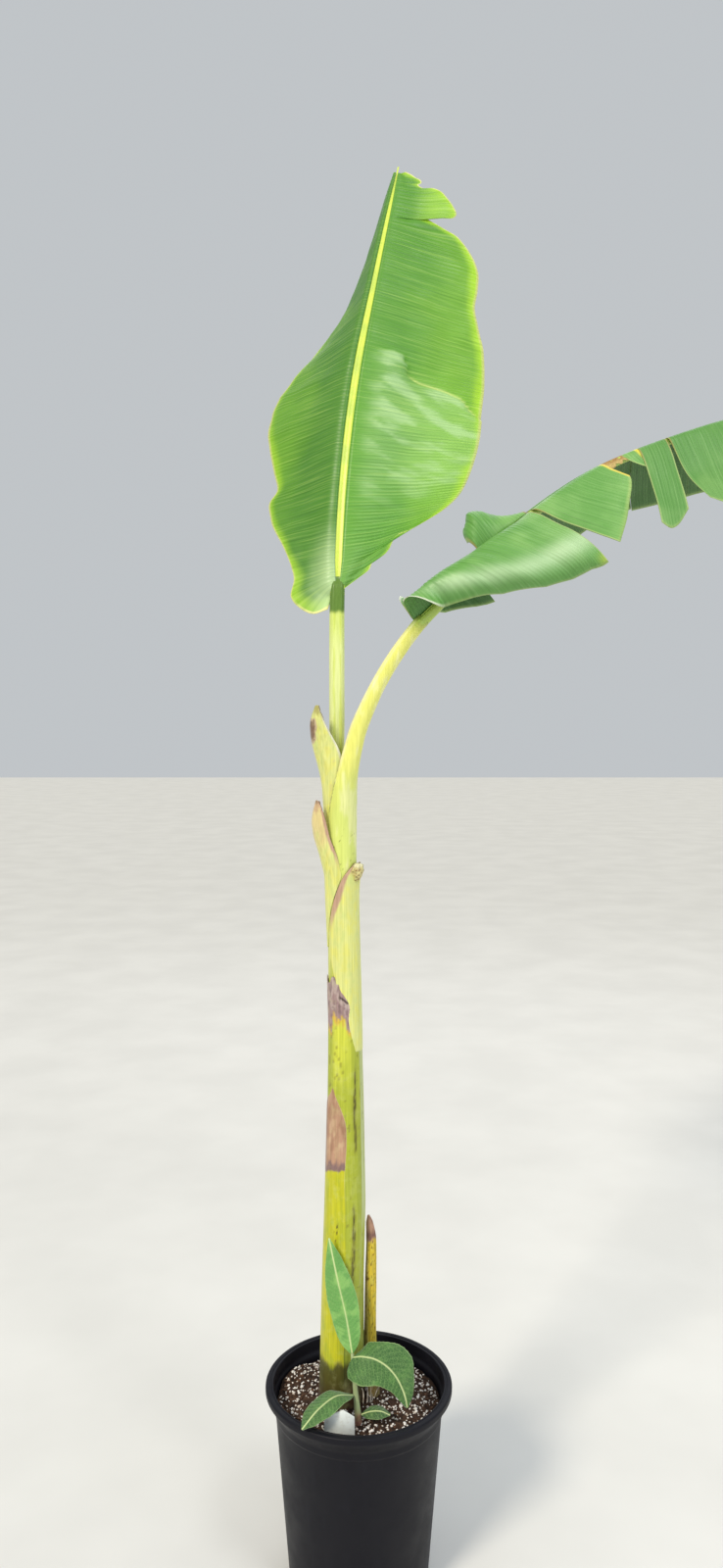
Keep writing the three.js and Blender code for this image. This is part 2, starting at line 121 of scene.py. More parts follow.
def new_piece(name, points, material, replaced=(), paint=None, ribbon=False, faces=None):
    """A smooth closed mesh that is part of the plant. paint gives a colour for each point."""
    mesh = bpy.data.meshes.new(name)
    mesh.from_pydata((np.reshape(points, (-1, 3)) / 1000).tolist(), [], faces or skin(points, ribbon))
    shell = bmesh.new()
    shell.from_mesh(mesh)
    bmesh.ops.recalc_face_normals(shell, faces=shell.faces)
    shell.to_mesh(mesh)
    shell.free()
    mesh.shade_smooth()
    mesh.materials.append(material)
    if paint is not None:
        mesh.attributes.new("paint", "FLOAT_COLOR", "POINT").data.foreach_set("color", np.ravel(paint))
    piece = bpy.data.objects.new(name, mesh)
    bpy.context.scene.collection.objects.link(piece)
    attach(piece, "root")
    if replaced:
        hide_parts(*replaced)
    return piece


def rounded(corners, steps=6):
    """A profile through corners that each have a rounding as their third value."""
    profile = []
    for place, (*corner, rounding) in enumerate(corners):
        here = Vector(corner)
        before = Vector(corners[max(place - 1, 0)][:2]) - here
        after = Vector(corners[min(place + 1, len(corners) - 1)][:2]) - here
        if before.length == 0 or after.length == 0:
            profile.append(here)
            continue
        cut = min(rounding, before.length * 0.49, after.length * 0.49)
        start, end = here + before.normalized() * cut, here + after.normalized() * cut
        for share in np.linspace(0, 1, steps):
            profile.append(start * (1 - share) ** 2 + here * 2 * share * (1 - share) + end * share ** 2)
    return profile


# Moulded polypropylene: a near-black blue-grey that is dull with handling and dust, and a fine grain
# from the mould. Dust and dried drips are paler.
pot_plastic, shader = new_finish("moulded polypropylene", {"IOR": 1.49, "Specular IOR Level": 0.22})
place = add_node(pot_plastic, "TexCoord", {}, "Object")
cloud = add_node(pot_plastic, "TexNoise", {"Vector": place, "Scale": 14, "Detail": 6, "Roughness": 0.62})
drips = add_node(pot_plastic, "Mapping", {"Vector": place, "Scale": (60, 60, 5)})
drip = add_node(pot_plastic, "TexNoise", {"Vector": drips, "Scale": 1, "Detail": 5})
dust = add_node(pot_plastic, "MapRange", {"Value": cloud, 1: 0.48, 2: 0.78})
film = add_node(pot_plastic, "MapRange", {"Value": drip, 1: 0.5, 2: 0.8, 4: 0.35})
both = add_node(pot_plastic, "Math", {0: dust, 1: film, 2: 0.02}, operation="MULTIPLY_ADD")
dusty = add_node(pot_plastic, "Mix", {0: both, 6: linear("#0b0b14"), 7: linear("#32343e")}, 2,
                 data_type="RGBA")
gloss = add_node(pot_plastic, "MapRange", {"Value": cloud, 1: 0.3, 2: 0.7, 3: 0.42, 4: 0.6})
# The mould's grain is about 0.7 mm, drawn at 1.2 mm so that it shows.
grain = add_node(pot_plastic, "TexNoise", {"Vector": place, "Scale": 1000 / 1.2, "Detail": 2})
relief = add_node(pot_plastic, "Bump", {"Height": grain, "Strength": 0.35, "Distance": 0.0004})
wire(shader, {"Base Color": dusty, "Roughness": gloss, "Normal": relief})

radius, height = np.array([tuple(point) for point in rounded(POT_OUTLINE)]).T[..., None]
turn = np.arange(POT_SIDES) * 2 * math.pi / POT_SIDES
rings = np.stack(np.broadcast_arrays(radius * np.cos(turn), radius * np.sin(turn), height), axis=-1)
new_piece("nursery_pot", rings, pot_plastic, ["pot"])


# Potting mix: damp peat and fine bark that has settled a little below the lip, heaped at the left,
# with puffed perlite grains that have washed to the surface.
MIX_LEVEL, MIX_EDGE_LEVEL, MIX_UNDERSIDE = 338, 329, 318
MIX_RADIUS, LEVEL_RADIUS, STREWN_RADIUS = 152.6, 100, 148
# The heap's middle, its spread and its height, and the stem's middle and radius at the soil.
HEAP_X, HEAP_Y, HEAP_SPREAD, HEAP_HEIGHT = -118, 58, 46, 15
STEM_X, STEM_Y, STEM_RADIUS = -31, 0, 42
MIX_RINGS, MIX_SIDES = 73, 220
GRAINS, CHIPS = 1300, 260


def mix_height(x, y):
    """The height of the potting mix's surface."""
    fall = max(0, (math.hypot(x, y) - LEVEL_RADIUS) / (MIX_RADIUS - LEVEL_RADIUS)) ** 2
    level = MIX_LEVEL - (MIX_LEVEL - MIX_EDGE_LEVEL) * fall
    heap = HEAP_HEIGHT * math.exp(-((x - HEAP_X) ** 2 + (y - HEAP_Y) ** 2) / HEAP_SPREAD ** 2)
    broad = noise.fractal(Vector((x, y, 3)) / 38, 1.0, 2.1, 3) * 3.2
    fine = noise.fractal(Vector((x, y, 9)) / 7, 0.9, 2.1, 3) * 1.7
    return level + heap + broad + fine


def clouded(name, values, pattern, span, colours, relief=None):
    """A finish that is clouded between two colours, the first of which may be "paint". span gives the
    pattern's two ends and the most of the second colour, relief a bump's strength and depth in metres."""
    material, shader = new_finish(name, values)
    place = add_node(material, "TexCoord", {}, "Object")
    cloud = add_node(material, "TexNoise", {"Vector": place, **pattern})
    share = add_node(material, "MapRange", {"Value": cloud, 1: span[0], 2: span[1], 4: span[2]})
    first, second = colours
    first = add_node(material, "Attribute", {}, attribute_name="paint") if first == "paint" else linear(first)
    colour = add_node(material, "Mix", {0: share, 6: first, 7: linear(second)}, 2, data_type="RGBA")
    wire(shader, {"Base Color": colour})
    if relief:
        bump = add_node(material, "Bump", {"Height": cloud, "Strength": relief[0], "Distance": relief[1]})
        wire(shader, {"Normal": bump})
    return material, shader, place, cloud


# Damp peat: almost black brown with paler dry crumbs about 9 mm apart, fully matt.
peat, *_ = clouded("damp peat", {"Roughness": 0.95, "Specular IOR Level": 0.25},
                   {"Scale": 1000 / 9, "Detail": 7, "Roughness": 0.7}, (0.38, 0.72, 1),
                   ("#1d1511", "#5b4231"), (0.9, 0.002))

angles = np.arange(MIX_SIDES) * 2 * math.pi / MIX_SIDES
radii = np.linspace(0, 1, MIX_RINGS + 1)[1:] ** 0.8 * MIX_RADIUS
circles = [[(radius * math.cos(angle), radius * math.sin(angle)) for angle in angles] for radius in radii]
rings = np.array([[(x, y, mix_height(x, y)) for x, y in circle] for circle in circles]
                 + [[(x, y, MIX_UNDERSIDE) for x, y in circle] for circle in circles[::-12]])
new_piece("potting_mix_surface", rings, peat, ["potting_mix"])

# Perlite: puffed volcanic glass, chalk white to grey and fully matt. Its pores are drawn at 0.7 mm.
perlite, shader, place, _ = clouded("perlite", {"Roughness": 0.9, "Specular IOR Level": 0.3},
                                    {"Scale": 90, "Detail": 4}, (0.46, 0.74, 1), ("#f4f1ec", "#b9a795"))
pores = add_node(perlite, "TexVoronoi", {"Vector": place, "Scale": 1400})
wire(shader, {"Normal": add_node(perlite, "Bump", {"Height": pores, "Strength": 0.5, "Distance": 0.0005})})

# Bark: short flat splinters of red brown, matt, with grain of about 3 mm.
bark, *_ = clouded("composted bark", {"Roughness": 0.85, "Specular IOR Level": 0.3},
                   {"Scale": 320, "Detail": 5}, (0.35, 0.7, 1), ("#34231a", "#7d5a40"), (0.6, 0.0006))


def scatter(name, count, seed, size, material):
    """Small lumps strewn over the potting mix. size returns a lump's three half sizes."""
    chance = random.Random(seed)
    ball = bmesh.new()
    bmesh.ops.create_icosphere(ball, subdivisions=1, radius=1)
    shape = np.array([vertex.co[:] for vertex in ball.verts])
    corners = [[vertex.index for vertex in face.verts] for face in ball.faces]
    ball.free()
    points, faces = [], []
    while len(points) < count:
        radius, angle = STREWN_RADIUS * math.sqrt(chance.random()), chance.uniform(0, 2 * math.pi)
        x, y = radius * math.cos(angle), radius * math.sin(angle)
        if math.hypot(x - STEM_X, y - STEM_Y) < STEM_RADIUS + 3:
            continue
        jitter = np.array([[chance.uniform(0.78, 1.15)] for _ in shape])
        lump = shape * jitter * size(chance)
        turn, lean = chance.uniform(0, math.pi), chance.uniform(-0.5, 0.5)
        across = lump[:, 0] * math.cos(turn) - lump[:, 1] * math.sin(turn)
        along = lump[:, 0] * math.sin(turn) + lump[:, 1] * math.cos(turn)
        height = mix_height(x, y) + lump[:, 2] + across * lean + 0.2 * abs(lump[:, 2]).max()
        faces += [[corner + len(points) * len(shape) for corner in face] for face in corners]
        points.append(np.stack([x + across, y + along, height], axis=-1))
    new_piece(name, np.array(points), material, faces=faces)


def grain_size(chance):
    half = chance.uniform(1.1, 2.5) * chance.choice((1, 1, 1, 1.35, 1.6))
    return [half, half * chance.uniform(0.75, 1.0), half * chance.uniform(0.6, 0.9)]


def chip_size(chance):
    half = chance.uniform(3, 7)
    return [half, half * chance.uniform(0.25, 0.5), half * chance.uniform(0.12, 0.25)]


scatter("perlite_grains", GRAINS, 11, grain_size, perlite)
scatter("bark_chips", CHIPS, 12, chip_size, bark)


# Pseudostem: tightly rolled leaf sheaths, yellow-green and faintly ribbed, darker at the soil. Two
# old sheaths still clasp it, and their upper ends have dried: one purplish and torn, one brown.
STEM_TOP = 1500
STEM_SIDES, STEM_RISE = 120, 3
WRAP_STEPS = 44
# Rows up the stem: height, middle in x and y, and radius.
STEM_LEVELS = np.array([
    [326, -31, 0, 43.5], [338, -31, 0, 43], [420, -31, 0, 40], [570, -29, 0, 38], [710, -25, 0, 37.5],
    [910, -24, 0, 33], [1050, -25, 0, 30], [1190, -28, 0, 28], [1330, -32, 1, 27.5], [1430, -34, 2, 28],
    [1480, -34, 4, 30], [1500, -34, 4, 30],
])
# Each row of a wrap: height, lean in x and y, the way it faces in degrees from +X, half the angle
# that it spans, how far it stands off the stem, and its wall.
WRAPS = {
    "sheath_brown": [
        [336, 0, 0, 205, 70, 1.6, 2.2], [500, 0, 0, 205, 70, 1.6, 2.2], [629, 0, 0, 205, 70, 1.5, 2.2],
        [768, 0, 0, 203, 65, 1.5, 2.2], [829, 0, 0, 205, 69, 1.6, 2], [866, 0, 0, 206, 67, 1.8, 1.8],
        [886, 0, 0, 207, 57, 2, 1.6], [900, 0, 0, 213, 40, 2, 1.4], [912, 0, 0, 221, 22, 1.8, 1.2],
        [921, 0, 0, 226, 9, 1.4, 1], [932, 0, 0, 226, 1, 1.2, 0.8],
    ],
    "sheath_purple": [
        [560, 0, 0, 232, 96, 0.2, 2], [700, 0, 0, 232, 96, 0.7, 2], [1000, 0, 0, 228, 96, 1.2, 2],
        [1050, 0, 0, 223, 102, 1.6, 2], [1072, 0, 0, 218, 100, 2, 1.8], [1085, 0, 0, 212, 96, 2.4, 1.6],
        [1097, 0, 0, 204, 84, 2.6, 1.4], [1108, 0, 0, 198, 74, 2.6, 1.2], [1118, 0, 0, 196, 67, 2.4, 1.1],
        [1130, -1, 0, 196, 62, 2.2, 1],
    ],
}
# Brown scars: the way each faces and its spread, in degrees, and the heights that it runs between.
SCAR_LINES = [(306, 3.4, 1003, 1036), (299, 3.4, 800, 935), (303, 2, 880, 985), (297, 3.2, 556, 724),
              (293, 2, 590, 690), (245, 2.4, 652, 690)]


def blend(rows, heights):
    """Rows of a table, smoothly between the listed heights."""
    rows = np.asarray(rows, float)
    columns = [np.interp(heights, rows[:, 0], column) for column in rows.T[1:]]
    soft = [np.convolve(np.pad(column, 4, mode="edge"), np.ones(9) / 9, mode="valid") for column in columns]
    return np.array(soft)


def ripple(points, size, octaves=3, seed=0.0):
    """Cloudy noise from -1 to 1 at each point, with features of the size given."""
    flat = np.reshape(points, (-1, 3)) / size + seed
    values = [noise.fractal(Vector(point), 0.9, 2.1, octaves) for point in flat]
    return np.reshape(values, np.shape(points)[:-1])


def ramp(value, none, full):
    """0 at one value, 1 at the other, smooth in between, and flat beyond them."""
    share = np.clip((value - none) / (full - none), 0, 1)
    return share * share * (3 - 2 * share)


def painted(points, base, *coats):
    """A colour for each point: a base colour, or paint, under coats of a colour and its share."""
    paint = np.broadcast_to(linear(base) if isinstance(base, str) else base, (*points.shape[:2], 4))
    for colour, share in coats:
        share = np.clip(share, 0, 1)[..., None]
        paint = paint * (1 - share) + np.array(linear(colour)) * share
    return paint


def fibrous(name, values, spread, pattern, high, dark, deep, relief):
    """Paint under dark streaks along the fibres. Returns the material, shader, place and colour."""
    material, shader = new_finish(name, values)
    place = add_node(material, "TexCoord", {}, "Object")
    drawn = add_node(material, "Mapping", {"Vector": place, "Scale": spread})
    fibre = add_node(material, "TexNoise", {"Vector": drawn, "Scale": 1, **pattern})
    tint = add_node(material, "Attribute", {}, attribute_name="paint")
    share = add_node(material, "MapRange", {"Value": fibre, 1: 0.35, 2: high, 3: dark, 4: 0})
    streaked = add_node(material, "Mix", {0: share, 6: tint, 7: linear(deep)}, 2,
                        data_type="RGBA", blend_type="MULTIPLY")
    bump = add_node(material, "Bump", {"Height": fibre, "Strength": relief[0], "Distance": relief[1]})
    wire(shader, {"Base Color": streaked, "Normal": bump})
    return material, shader, place, streaked


# Living sheath skin: smooth and waxy with fine lengthwise fibres, so it has a soft satin light. The
# fibres are about 1.5 mm apart, drawn at 2.5 mm so that they show.
sheath_skin, shader, place, streaked = fibrous(
    "waxy leaf sheath", {"Roughness": 0.42, "IOR": 1.42, "Sheen Weight": 0.12, "Sheen Roughness": 0.4},
    (1000 / 2.5, 1000 / 2.5, 9), {"Detail": 4}, 0.68, 0.3, "#7f8f2c", (0.4, 0.0006))
mottle = add_node(sheath_skin, "TexNoise", {"Vector": place, "Scale": 55, "Detail": 5, "Roughness": 0.6})
pale = add_node(sheath_skin, "MapRange", {"Value": mottle, 1: 0.5, 2: 0.8, 3: 0, 4: 0.26})
bloom = add_node(sheath_skin, "Mix", {0: pale, 6: streaked, 7: linear("#d7dc9a")}, 2, data_type="RGBA")
gloss = add_node(sheath_skin, "MapRange", {"Value": mottle, 1: 0.3, 2: 0.7, 3: 0.36, 4: 0.52})
wire(shader, {"Base Color": bloom, "Roughness": gloss})


def round_stem(heights, angles, stand_off, lean=(0, 0)):
    """Points round the stem's line, at a stand-off from its skin."""
    x, y, radius = blend(STEM_LEVELS, heights)
    reach = radius[:, None] + stand_off
    return np.stack(np.broadcast_arrays(
        x[:, None] + np.reshape(lean[0], (-1, 1)) + reach * np.cos(angles),
        y[:, None] + np.reshape(lean[1], (-1, 1)) + reach * np.sin(angles), heights[:, None]), axis=-1)


def darkening_at_soil(height, cloud):
    """Coats that darken a sheath towards the soil."""
    return [("#3b3720", ramp(height + 10 * cloud, 430, 414) * 0.9),
            ("#46291f", ramp(height + 18 * cloud, 400, 345) * 0.8)]


def stem_paint(points, angles, heights):
    """The stem's colours: yellow-green, paler above, darker at the soil, brown scars in lines, and a painted
    highlight up its right edge.
    """
    cloud = ripple(points * [1, 1, 0.25], 18)
    specks = ripple(points * [1, 1, 0.14], 2.6, 2, 5.0)
    height, angle = heights[:, None], np.degrees(angles) % 360
    coats = [
        ("#e2e680", ramp(height + 90 * cloud, 1000, 1240)),
        ("#dde24c", ramp(abs(angle - 258), 42, 18) * ramp(height + 60 * cloud, 900, 1010) * 0.8),
        # A pale strip up the right edge, from about 650 mm, is a painted highlight.
        ("#ccd6a4", ramp(abs(angle - 334), 12, 5) * ramp(height + 60 * cloud, 650, 720) * 0.7),
        ("#8fa03a", ramp(height + 60 * cloud, 620, 430) * 0.7),
        *darkening_at_soil(height, cloud),
    ]
    for facing, spread, low, high in SCAR_LINES:
        apart = (angle - facing - 2.2 * np.sin(height / 31)) / spread
        span = ramp(height, low, low + 24) * ramp(height, high, high - 24)
        coats += [("#8d8c28", np.exp(-(apart / 2.2) ** 2) * span * 0.6),
                  ("#43350f", np.exp(-apart ** 2) * span * ramp(specks, -0.3, 0.1))]
    return painted(points, "#b0ba36", *coats, ("#6d5a24", ramp(specks, 0.5, 0.66) * 0.5))


heights = np.arange(STEM_LEVELS[0, 0], STEM_TOP + 0.5, STEM_RISE)
angle, height = np.meshgrid(np.arange(STEM_SIDES) * 2 * math.pi / STEM_SIDES, heights)
# The rolled sheaths leave shallow steps and flutes that wind slowly round the stem.
flutes = 0.45 * np.sin(7 * angle + height / 210) + 0.25 * np.sin(13 * angle - height / 90)
steps = 0.9 * ((angle + height / 620) / 2.1 % 1) - 0.45
rings = round_stem(heights, angle, flutes + steps - 14 * ramp(height, 1440, STEM_TOP))
paint = stem_paint(rings, angle, heights)
new_piece("stem_of_sheaths", rings, sheath_skin, ["pseudostem"], paint)


def two_faces(face, back=None):
    """Rings that run along a face and return along its back, or values in that same order."""
    return np.concatenate([face, (face if back is None else back)[:, ::-1]], axis=1)


def wrap(rows, rise=STEM_RISE):
    """A sheath that clasps the stem: its rings, and the angle, height and share across of each point."""
    low, high = rows[0][0], rows[-1][0]
    heights = np.linspace(low, high, int((high - low) / rise) + 2)
    lean_x, lean_y, facing, span, stand_off, wall = blend(rows, heights)
    across = np.sin(np.linspace(-1, 1, WRAP_STEPS + 1) * math.pi / 2)
    angles = np.radians(facing[:, None] + span[:, None] * across)
    # The sheath thins towards its margins, where it lies close to what it clasps.
    body = np.sqrt(np.clip(1 - across ** 2, 0, 1)) * 0.75 + 0.25
    flutes = 0.3 * np.sin(angles * 11 + heights[:, None] / 130)
    outer = round_stem(heights, angles, stand_off[:, None] * (0.5 + 0.5 * body) + flutes, (lean_x, lean_y))
    inner = round_stem(heights, angles, (stand_off - wall)[:, None] * body + flutes, (lean_x, lean_y))
    levels, shares = np.broadcast_arrays(heights[:, None], across)
    return two_faces(outer, inner), two_faces(angles), two_faces(levels), two_faces(shares)


rings, angle, height, across = wrap(WRAPS["sheath_brown"])
cloud = ripple(rings * [1, 1, 0.3], 12)
specks = ripple(rings * [1, 1, 0.3], 2.6, 2, 5.0)
facing = np.degrees(angle)
# The dried end starts higher on the stem's front than at its side.
edge = height + 5 * cloud - 14 * np.clip(-np.sin(angle), 0, 1)
paint = painted(
    rings, "#c9c81f",
    ("#b3bd30", ramp(cloud, 0, 0.5) * 0.7),
    *darkening_at_soil(height, cloud),
    ("#bd947a", ramp(edge, 766, 771)),
    ("#84696c", ramp(edge, 766, 769) * ramp(edge + 8 * cloud, 786, 776) * 0.9),
    ("#a2775e", ramp(edge, 785, 815) * ramp(cloud, -0.1, 0.35) * 0.7),
    ("#d6b896", ramp(edge, 785, 815) * ramp(cloud, -0.15, -0.45) * 0.6),
    ("#8a6a60", ramp(facing, 214, 190) * ramp(edge, 770, 780) * 0.6),
    ("#e3d7a0", ramp(across, 0.985, 0.998) * ramp(height, 700, 770)),
    ("#4b3a17", ramp(specks, 0.15, 0.4) * ramp(abs(height - 668), 24, 10) * ramp(abs(facing - 247), 7, 3)))
new_piece("sheath_brown_topped", rings, sheath_skin, paint=paint, ribbon=True)

rings, angle, height, across = wrap(WRAPS["sheath_purple"])
cloud = ripple(rings * [1, 1, 0.5], 10)
jag = ripple(rings * [1, 1, 0.15], 4, 2, 8.0)
# The dried end has torn off unevenly at the top.
rings[..., 2] += ramp(height, 1100, 1130) * (7 * np.sin(angle * 8 + 1) + 9 * jag)
edge = height + 14 * jag + 5 * np.sin(angle * 9) - 20 * ramp(np.sin(angle + 0.4), -0.85, -1) - 10
crack = abs(height - 1096 - 5 * np.sin(angle * 6)) - 1.6
paint = painted(
    rings, stem_paint(rings, angle, height[:, :1].ravel()),
    ("#e0b04a", ramp(edge, 1018, 1036) * 0.8),
    ("#a68a8c", ramp(edge, 1034, 1039)),
    ("#c2aeaa", ramp(edge, 1040, 1052) * ramp(cloud, -0.2, 0.3) * 0.8),
    ("#705a60", ramp(edge, 1040, 1052) * ramp(jag, 0.15, 0.45) * 0.6),
    ("#4b3a38", ramp(crack, 1.5, 0) * ramp(np.degrees(angle), 248, 256)),
    ("#ccd0a8", ramp(across, 0.97, 0.995) * ramp(height, 1040, 1000) * 0.8))
new_piece("sheath_purple_topped", rings, sheath_skin, paint=paint, ribbon=True)


# Cut leaf bases: sheaths of leaves that were cut away. They clasp the stem and end in free points
# that have dried to a pinkish brown paper. The right one ends in the stump of its stalk.
CUT_SHEATHS = {
    "cut_sheath_upper": [
        [1400, 0, 2, 205, 16, 1.6, 2], [1440, 0, 3, 205, 44, 2.2, 2.4], [1480, 0, 5, 210, 66, 3, 3],
        [1505, -4, 7, 214, 76, 3.4, 3.2], [1533, -11, 8, 220, 78, 3.6, 3.4],
        [1548, -15, 8, 222, 76, 3.8, 3.4],
        [1565, -19, 7, 221, 69, 4, 3.4], [1582, -21, 4, 220, 56, 4, 3.4], [1600, -22, 0, 220, 40, 4, 3.4],
        [1618, -18, -4, 219, 22, 4, 3], [1630, -15, -6, 218, 6, 4, 2.4],
    ],
    "cut_sheath_left": [
        [1190, 0, 0, 182, 12, 1.6, 2.4], [1238, 0, 0, 190, 24, 2.6, 2.6], [1268, 0, 0, 197, 33, 3.2, 3],
        [1322, 0, 0, 221, 51, 4, 3.4], [1357, -8, 0, 225, 50, 4.2, 3.6], [1392, -18, 0, 223, 45, 4.4, 3.6],
        [1420, -21, -3, 221, 42, 4.4, 3.4], [1440, -19, -5, 223, 26, 4.4, 3],
        [1459, -16, -6, 220, 5, 4.4, 2.4],
    ],
    "cut_sheath_right": [
        [1000, 0, 0, 330, 24, 1.4, 2], [1100, 0, 0, 310, 60, 2.2, 2.4], [1190, 0, 0, 300, 88, 3, 2.8],
        [1238, 0, 0, 299, 80, 3.6, 3], [1268, 0, 0, 306, 72, 4, 3], [1300, 1, 0, 314, 59, 4.6, 3.4],
        [1322, 3, 0, 325, 54, 5, 3.6], [1334, 4, 0, 330, 40, 5, 3.8], [1341, 4, 0, 331, 27, 4.8, 3.6],
        [1345, 4, 0, 331, 12, 4.4, 3],
    ],
}
# Rows along a stalk, here and below: x, y, z and radius.
STUMP_LINE = [[-5, -19, 1314, 6], [-3, -21, 1323, 9.5], [-2, -22, 1334, 11.5], [-1, -22, 1341, 10.5],
              [-1, -22, 1345, 6]]
LIMB_SIDES = 64
LINE_STEPS = 3001


def through(rows, shares):
    """Points of a smooth line through the rows, at each share from 0 to 1 of its rows."""
    rows = np.asarray(rows, float)
    knots = np.array([2 * rows[0] - rows[1], *rows, 2 * rows[-1] - rows[-2]])
    place = np.clip(shares, 0, 1) * (len(rows) - 1)
    first = np.minimum(place.astype(int), len(rows) - 2)
    share = (place - first)[:, None]
    a, b, c, d = (knots[first + step] for step in range(4))
    ab, bc, cd = (np.linalg.norm(two - one, axis=1)[:, None] ** 0.5 for one, two in ((a, b), (b, c), (c, d)))
    leave = ((b - a) / ab - (c - a) / (ab + bc) + (c - b) / bc) * bc
    arrive = ((c - b) / bc - (d - b) / (bc + cd) + (d - c) / cd) * bc
    bend = 3 * (c - b) - 2 * leave - arrive
    return b + share * (leave + share * (bend + share * (leave + arrive - 2 * (c - b))))


def unit(vectors):
    """Each vector brought to a length of 1."""
    return vectors / np.linalg.norm(vectors, axis=1)[:, None]


def course(rows):
    """How to follow a line of x, y, z and radius: distances, points, directions and radii along it."""
    rows = np.asarray(rows, float)
    shares = np.linspace(0, 1, LINE_STEPS)
    points = through(rows[:, :3], shares)
    ahead = unit(np.gradient(points, axis=0))
    distances = np.concatenate([[0], np.cumsum(np.linalg.norm(np.diff(points, axis=0), axis=1))])
    radii = np.interp(shares * (len(rows) - 1), range(len(rows)), rows[:, 3])
    return np.column_stack([distances, points, ahead, radii])


def along_course(line, distances):
    """Points, directions and radii at distances along a course."""
    found = np.array([np.interp(distances, line[:, 0], column) for column in line.T[1:]]).T
    return found[:, :3], unit(found[:, 3:6]), found[:, 6]


def paces(line, pace):
    """Distances along a course at each pace, up to its end."""
    return np.append(np.arange(0, line[-1, 0], pace), line[-1, 0])


def frames(ahead, up):
    """Side and upper directions across a line, with its upper face towards up."""
    side = unit(np.cross(ahead, up))
    return side, np.cross(side, ahead)


def stalk(line, distances, up, reach):
    """Rings round a line. reach gives each point's distance from it as a share of the radius, from
    the share along and the angle from the upper face."""
    centre, ahead, radius = along_course(line, distances)
    side, upper = frames(ahead, up)
    angle = np.arange(LIMB_SIDES) * 2 * math.pi / LIMB_SIDES
    share = ((distances - distances[0]) / (distances[-1] - distances[0]))[:, None]
    out = reach(share, (angle + math.pi) % (2 * math.pi) - math.pi) * radius[:, None]
    return (centre[:, None] + side[:, None] * (out * np.sin(angle))[..., None]
            + upper[:, None] * (out * np.cos(angle))[..., None])


for name, rows in CUT_SHEATHS.items():
    rings, angle, height, across = wrap(rows, 2)
    tip = rows[-1][0]
    cloud = ripple(rings * [1, 1, 0.4], 9)
    # The free end is a little torn and curled.
    torn = ripple(rings, 5, 2, 3.0) * ramp(height, tip - 46, tip) * 1.6
    rings = rings + torn[..., None] * [0.7, 0.5, 1]
    right = name == "cut_sheath_right"
    aged = -across if right else across
    coats = [("#e9e670", ramp(cloud, 0, 0.5) * 0.6), ("#d0df88", ramp(cloud, -0.1, -0.6) * 0.5)]
    if name == "cut_sheath_upper":
        patch = np.exp(-((rings[..., 0] + 87) / 9) ** 4 - ((height - 1584) / 22) ** 4)
        coats += [
            ("#e6e4cc", ramp(across, 0.84, 0.95) * ramp(height, 1500, 1550)),
            ("#cdb796", ramp(patch + 0.2 * cloud, 0.1, 0.3)),
            ("#7c5a48", ramp(patch + 0.4 * ripple(rings, 4), 0.45, 0.8) * 0.9),
            ("#a8a060", ramp(height + 8 * cloud, 1606, 1624) * 0.8)]
    else:
        wide = 0.22 * np.exp(-((height - 1290) / 42) ** 2) if right else 0.1
        coats += [
            ("#ecd39c", ramp(height + 20 * cloud, tip - 110, tip - 50) * (0 if right else 0.8)),
            ("#c6a08a", ramp(aged + wide + 0.05 * cloud, 0.8, 0.92) * ramp(height, tip - 130, tip - 85)),
            ("#cfa78c", ramp(height + 10 * cloud, tip - 24, tip - 10) * 0.7),
            ("#7d5f50", ramp(height + 5 * cloud, tip - 7, tip - 2) * 0.6)]
    coats += [("#8a6a54", ramp(aged, 0.985, 0.998) * ramp(height, tip - 140, tip - 90) * 0.8)]
    paint = painted(rings, "#e4e68e", *coats)
    new_piece(name + "_piece", rings, sheath_skin, [name], paint, True)

FRONT, UP = (0, -1, 0), (0, 0, 1)
line = course(STUMP_LINE)
rings = stalk(line, paces(line, 1.2), FRONT, lambda share, angle: (
    0.9 + 0.06 * np.sin(3 * angle + 4 * share) + 0.05 * np.sin(7 * angle - 6 * share)))
rings = rings + (ripple(rings, 5, 3, 2.0) * 1.6)[..., None]
cloud = ripple(rings, 4, 3, 9.0)
paint = painted(
    rings, "#d9cf8e",
    ("#b7925e", ramp(cloud, -0.1, 0.35) * 0.8),
    ("#5a4028", ramp(cloud, 0.3, 0.5) * 0.8),
    ("#e6e2c0", ramp(rings[..., 2] + 5 * cloud, 1336, 1342) * 0.7))
new_piece("cut_stalk_stump", rings, sheath_skin, paint=paint)


# Dried stub: the orange-yellow stalk of an old leaf that stands on the soil against the stem. It
# is shrunken and ridged, dotted with brown, and ends in torn brown paper.
STUB_LINE = [[27, 6, 330, 13.5], [27, 6, 338, 13], [22, 6, 430, 12], [22, 6, 560, 11], [23, 8, 640, 9.5],
             [20, 8, 668, 6.5], [18, 8, 681, 2]]
# Thin strands that are left of an old sheath: x, y, lean, height and half width of each.
STRANDS = [(15, -22, 2, 58, 2.6), (20, -20, 7, 66, 2.2), (25, -15, 3, 52, 2.8), (30, -12, 9, 40, 2.0),
           (10, -25, -5, 38, 2.2)]
STRAND_FOOT = 332

# Dried leaf tissue: matt papery brown to straw, ribbed by its fibres. They are about 1 mm apart,
# drawn at 2 mm so that they show.
dry_tissue, *_ = fibrous(
    "dried leaf tissue", {"Roughness": 0.8, "Specular IOR Level": 0.3}, (1000 / 2, 1000 / 2, 22),
    {"Detail": 5, "Roughness": 0.6}, 0.62, 0.5, "#5c3d22", (0.8, 0.0009))

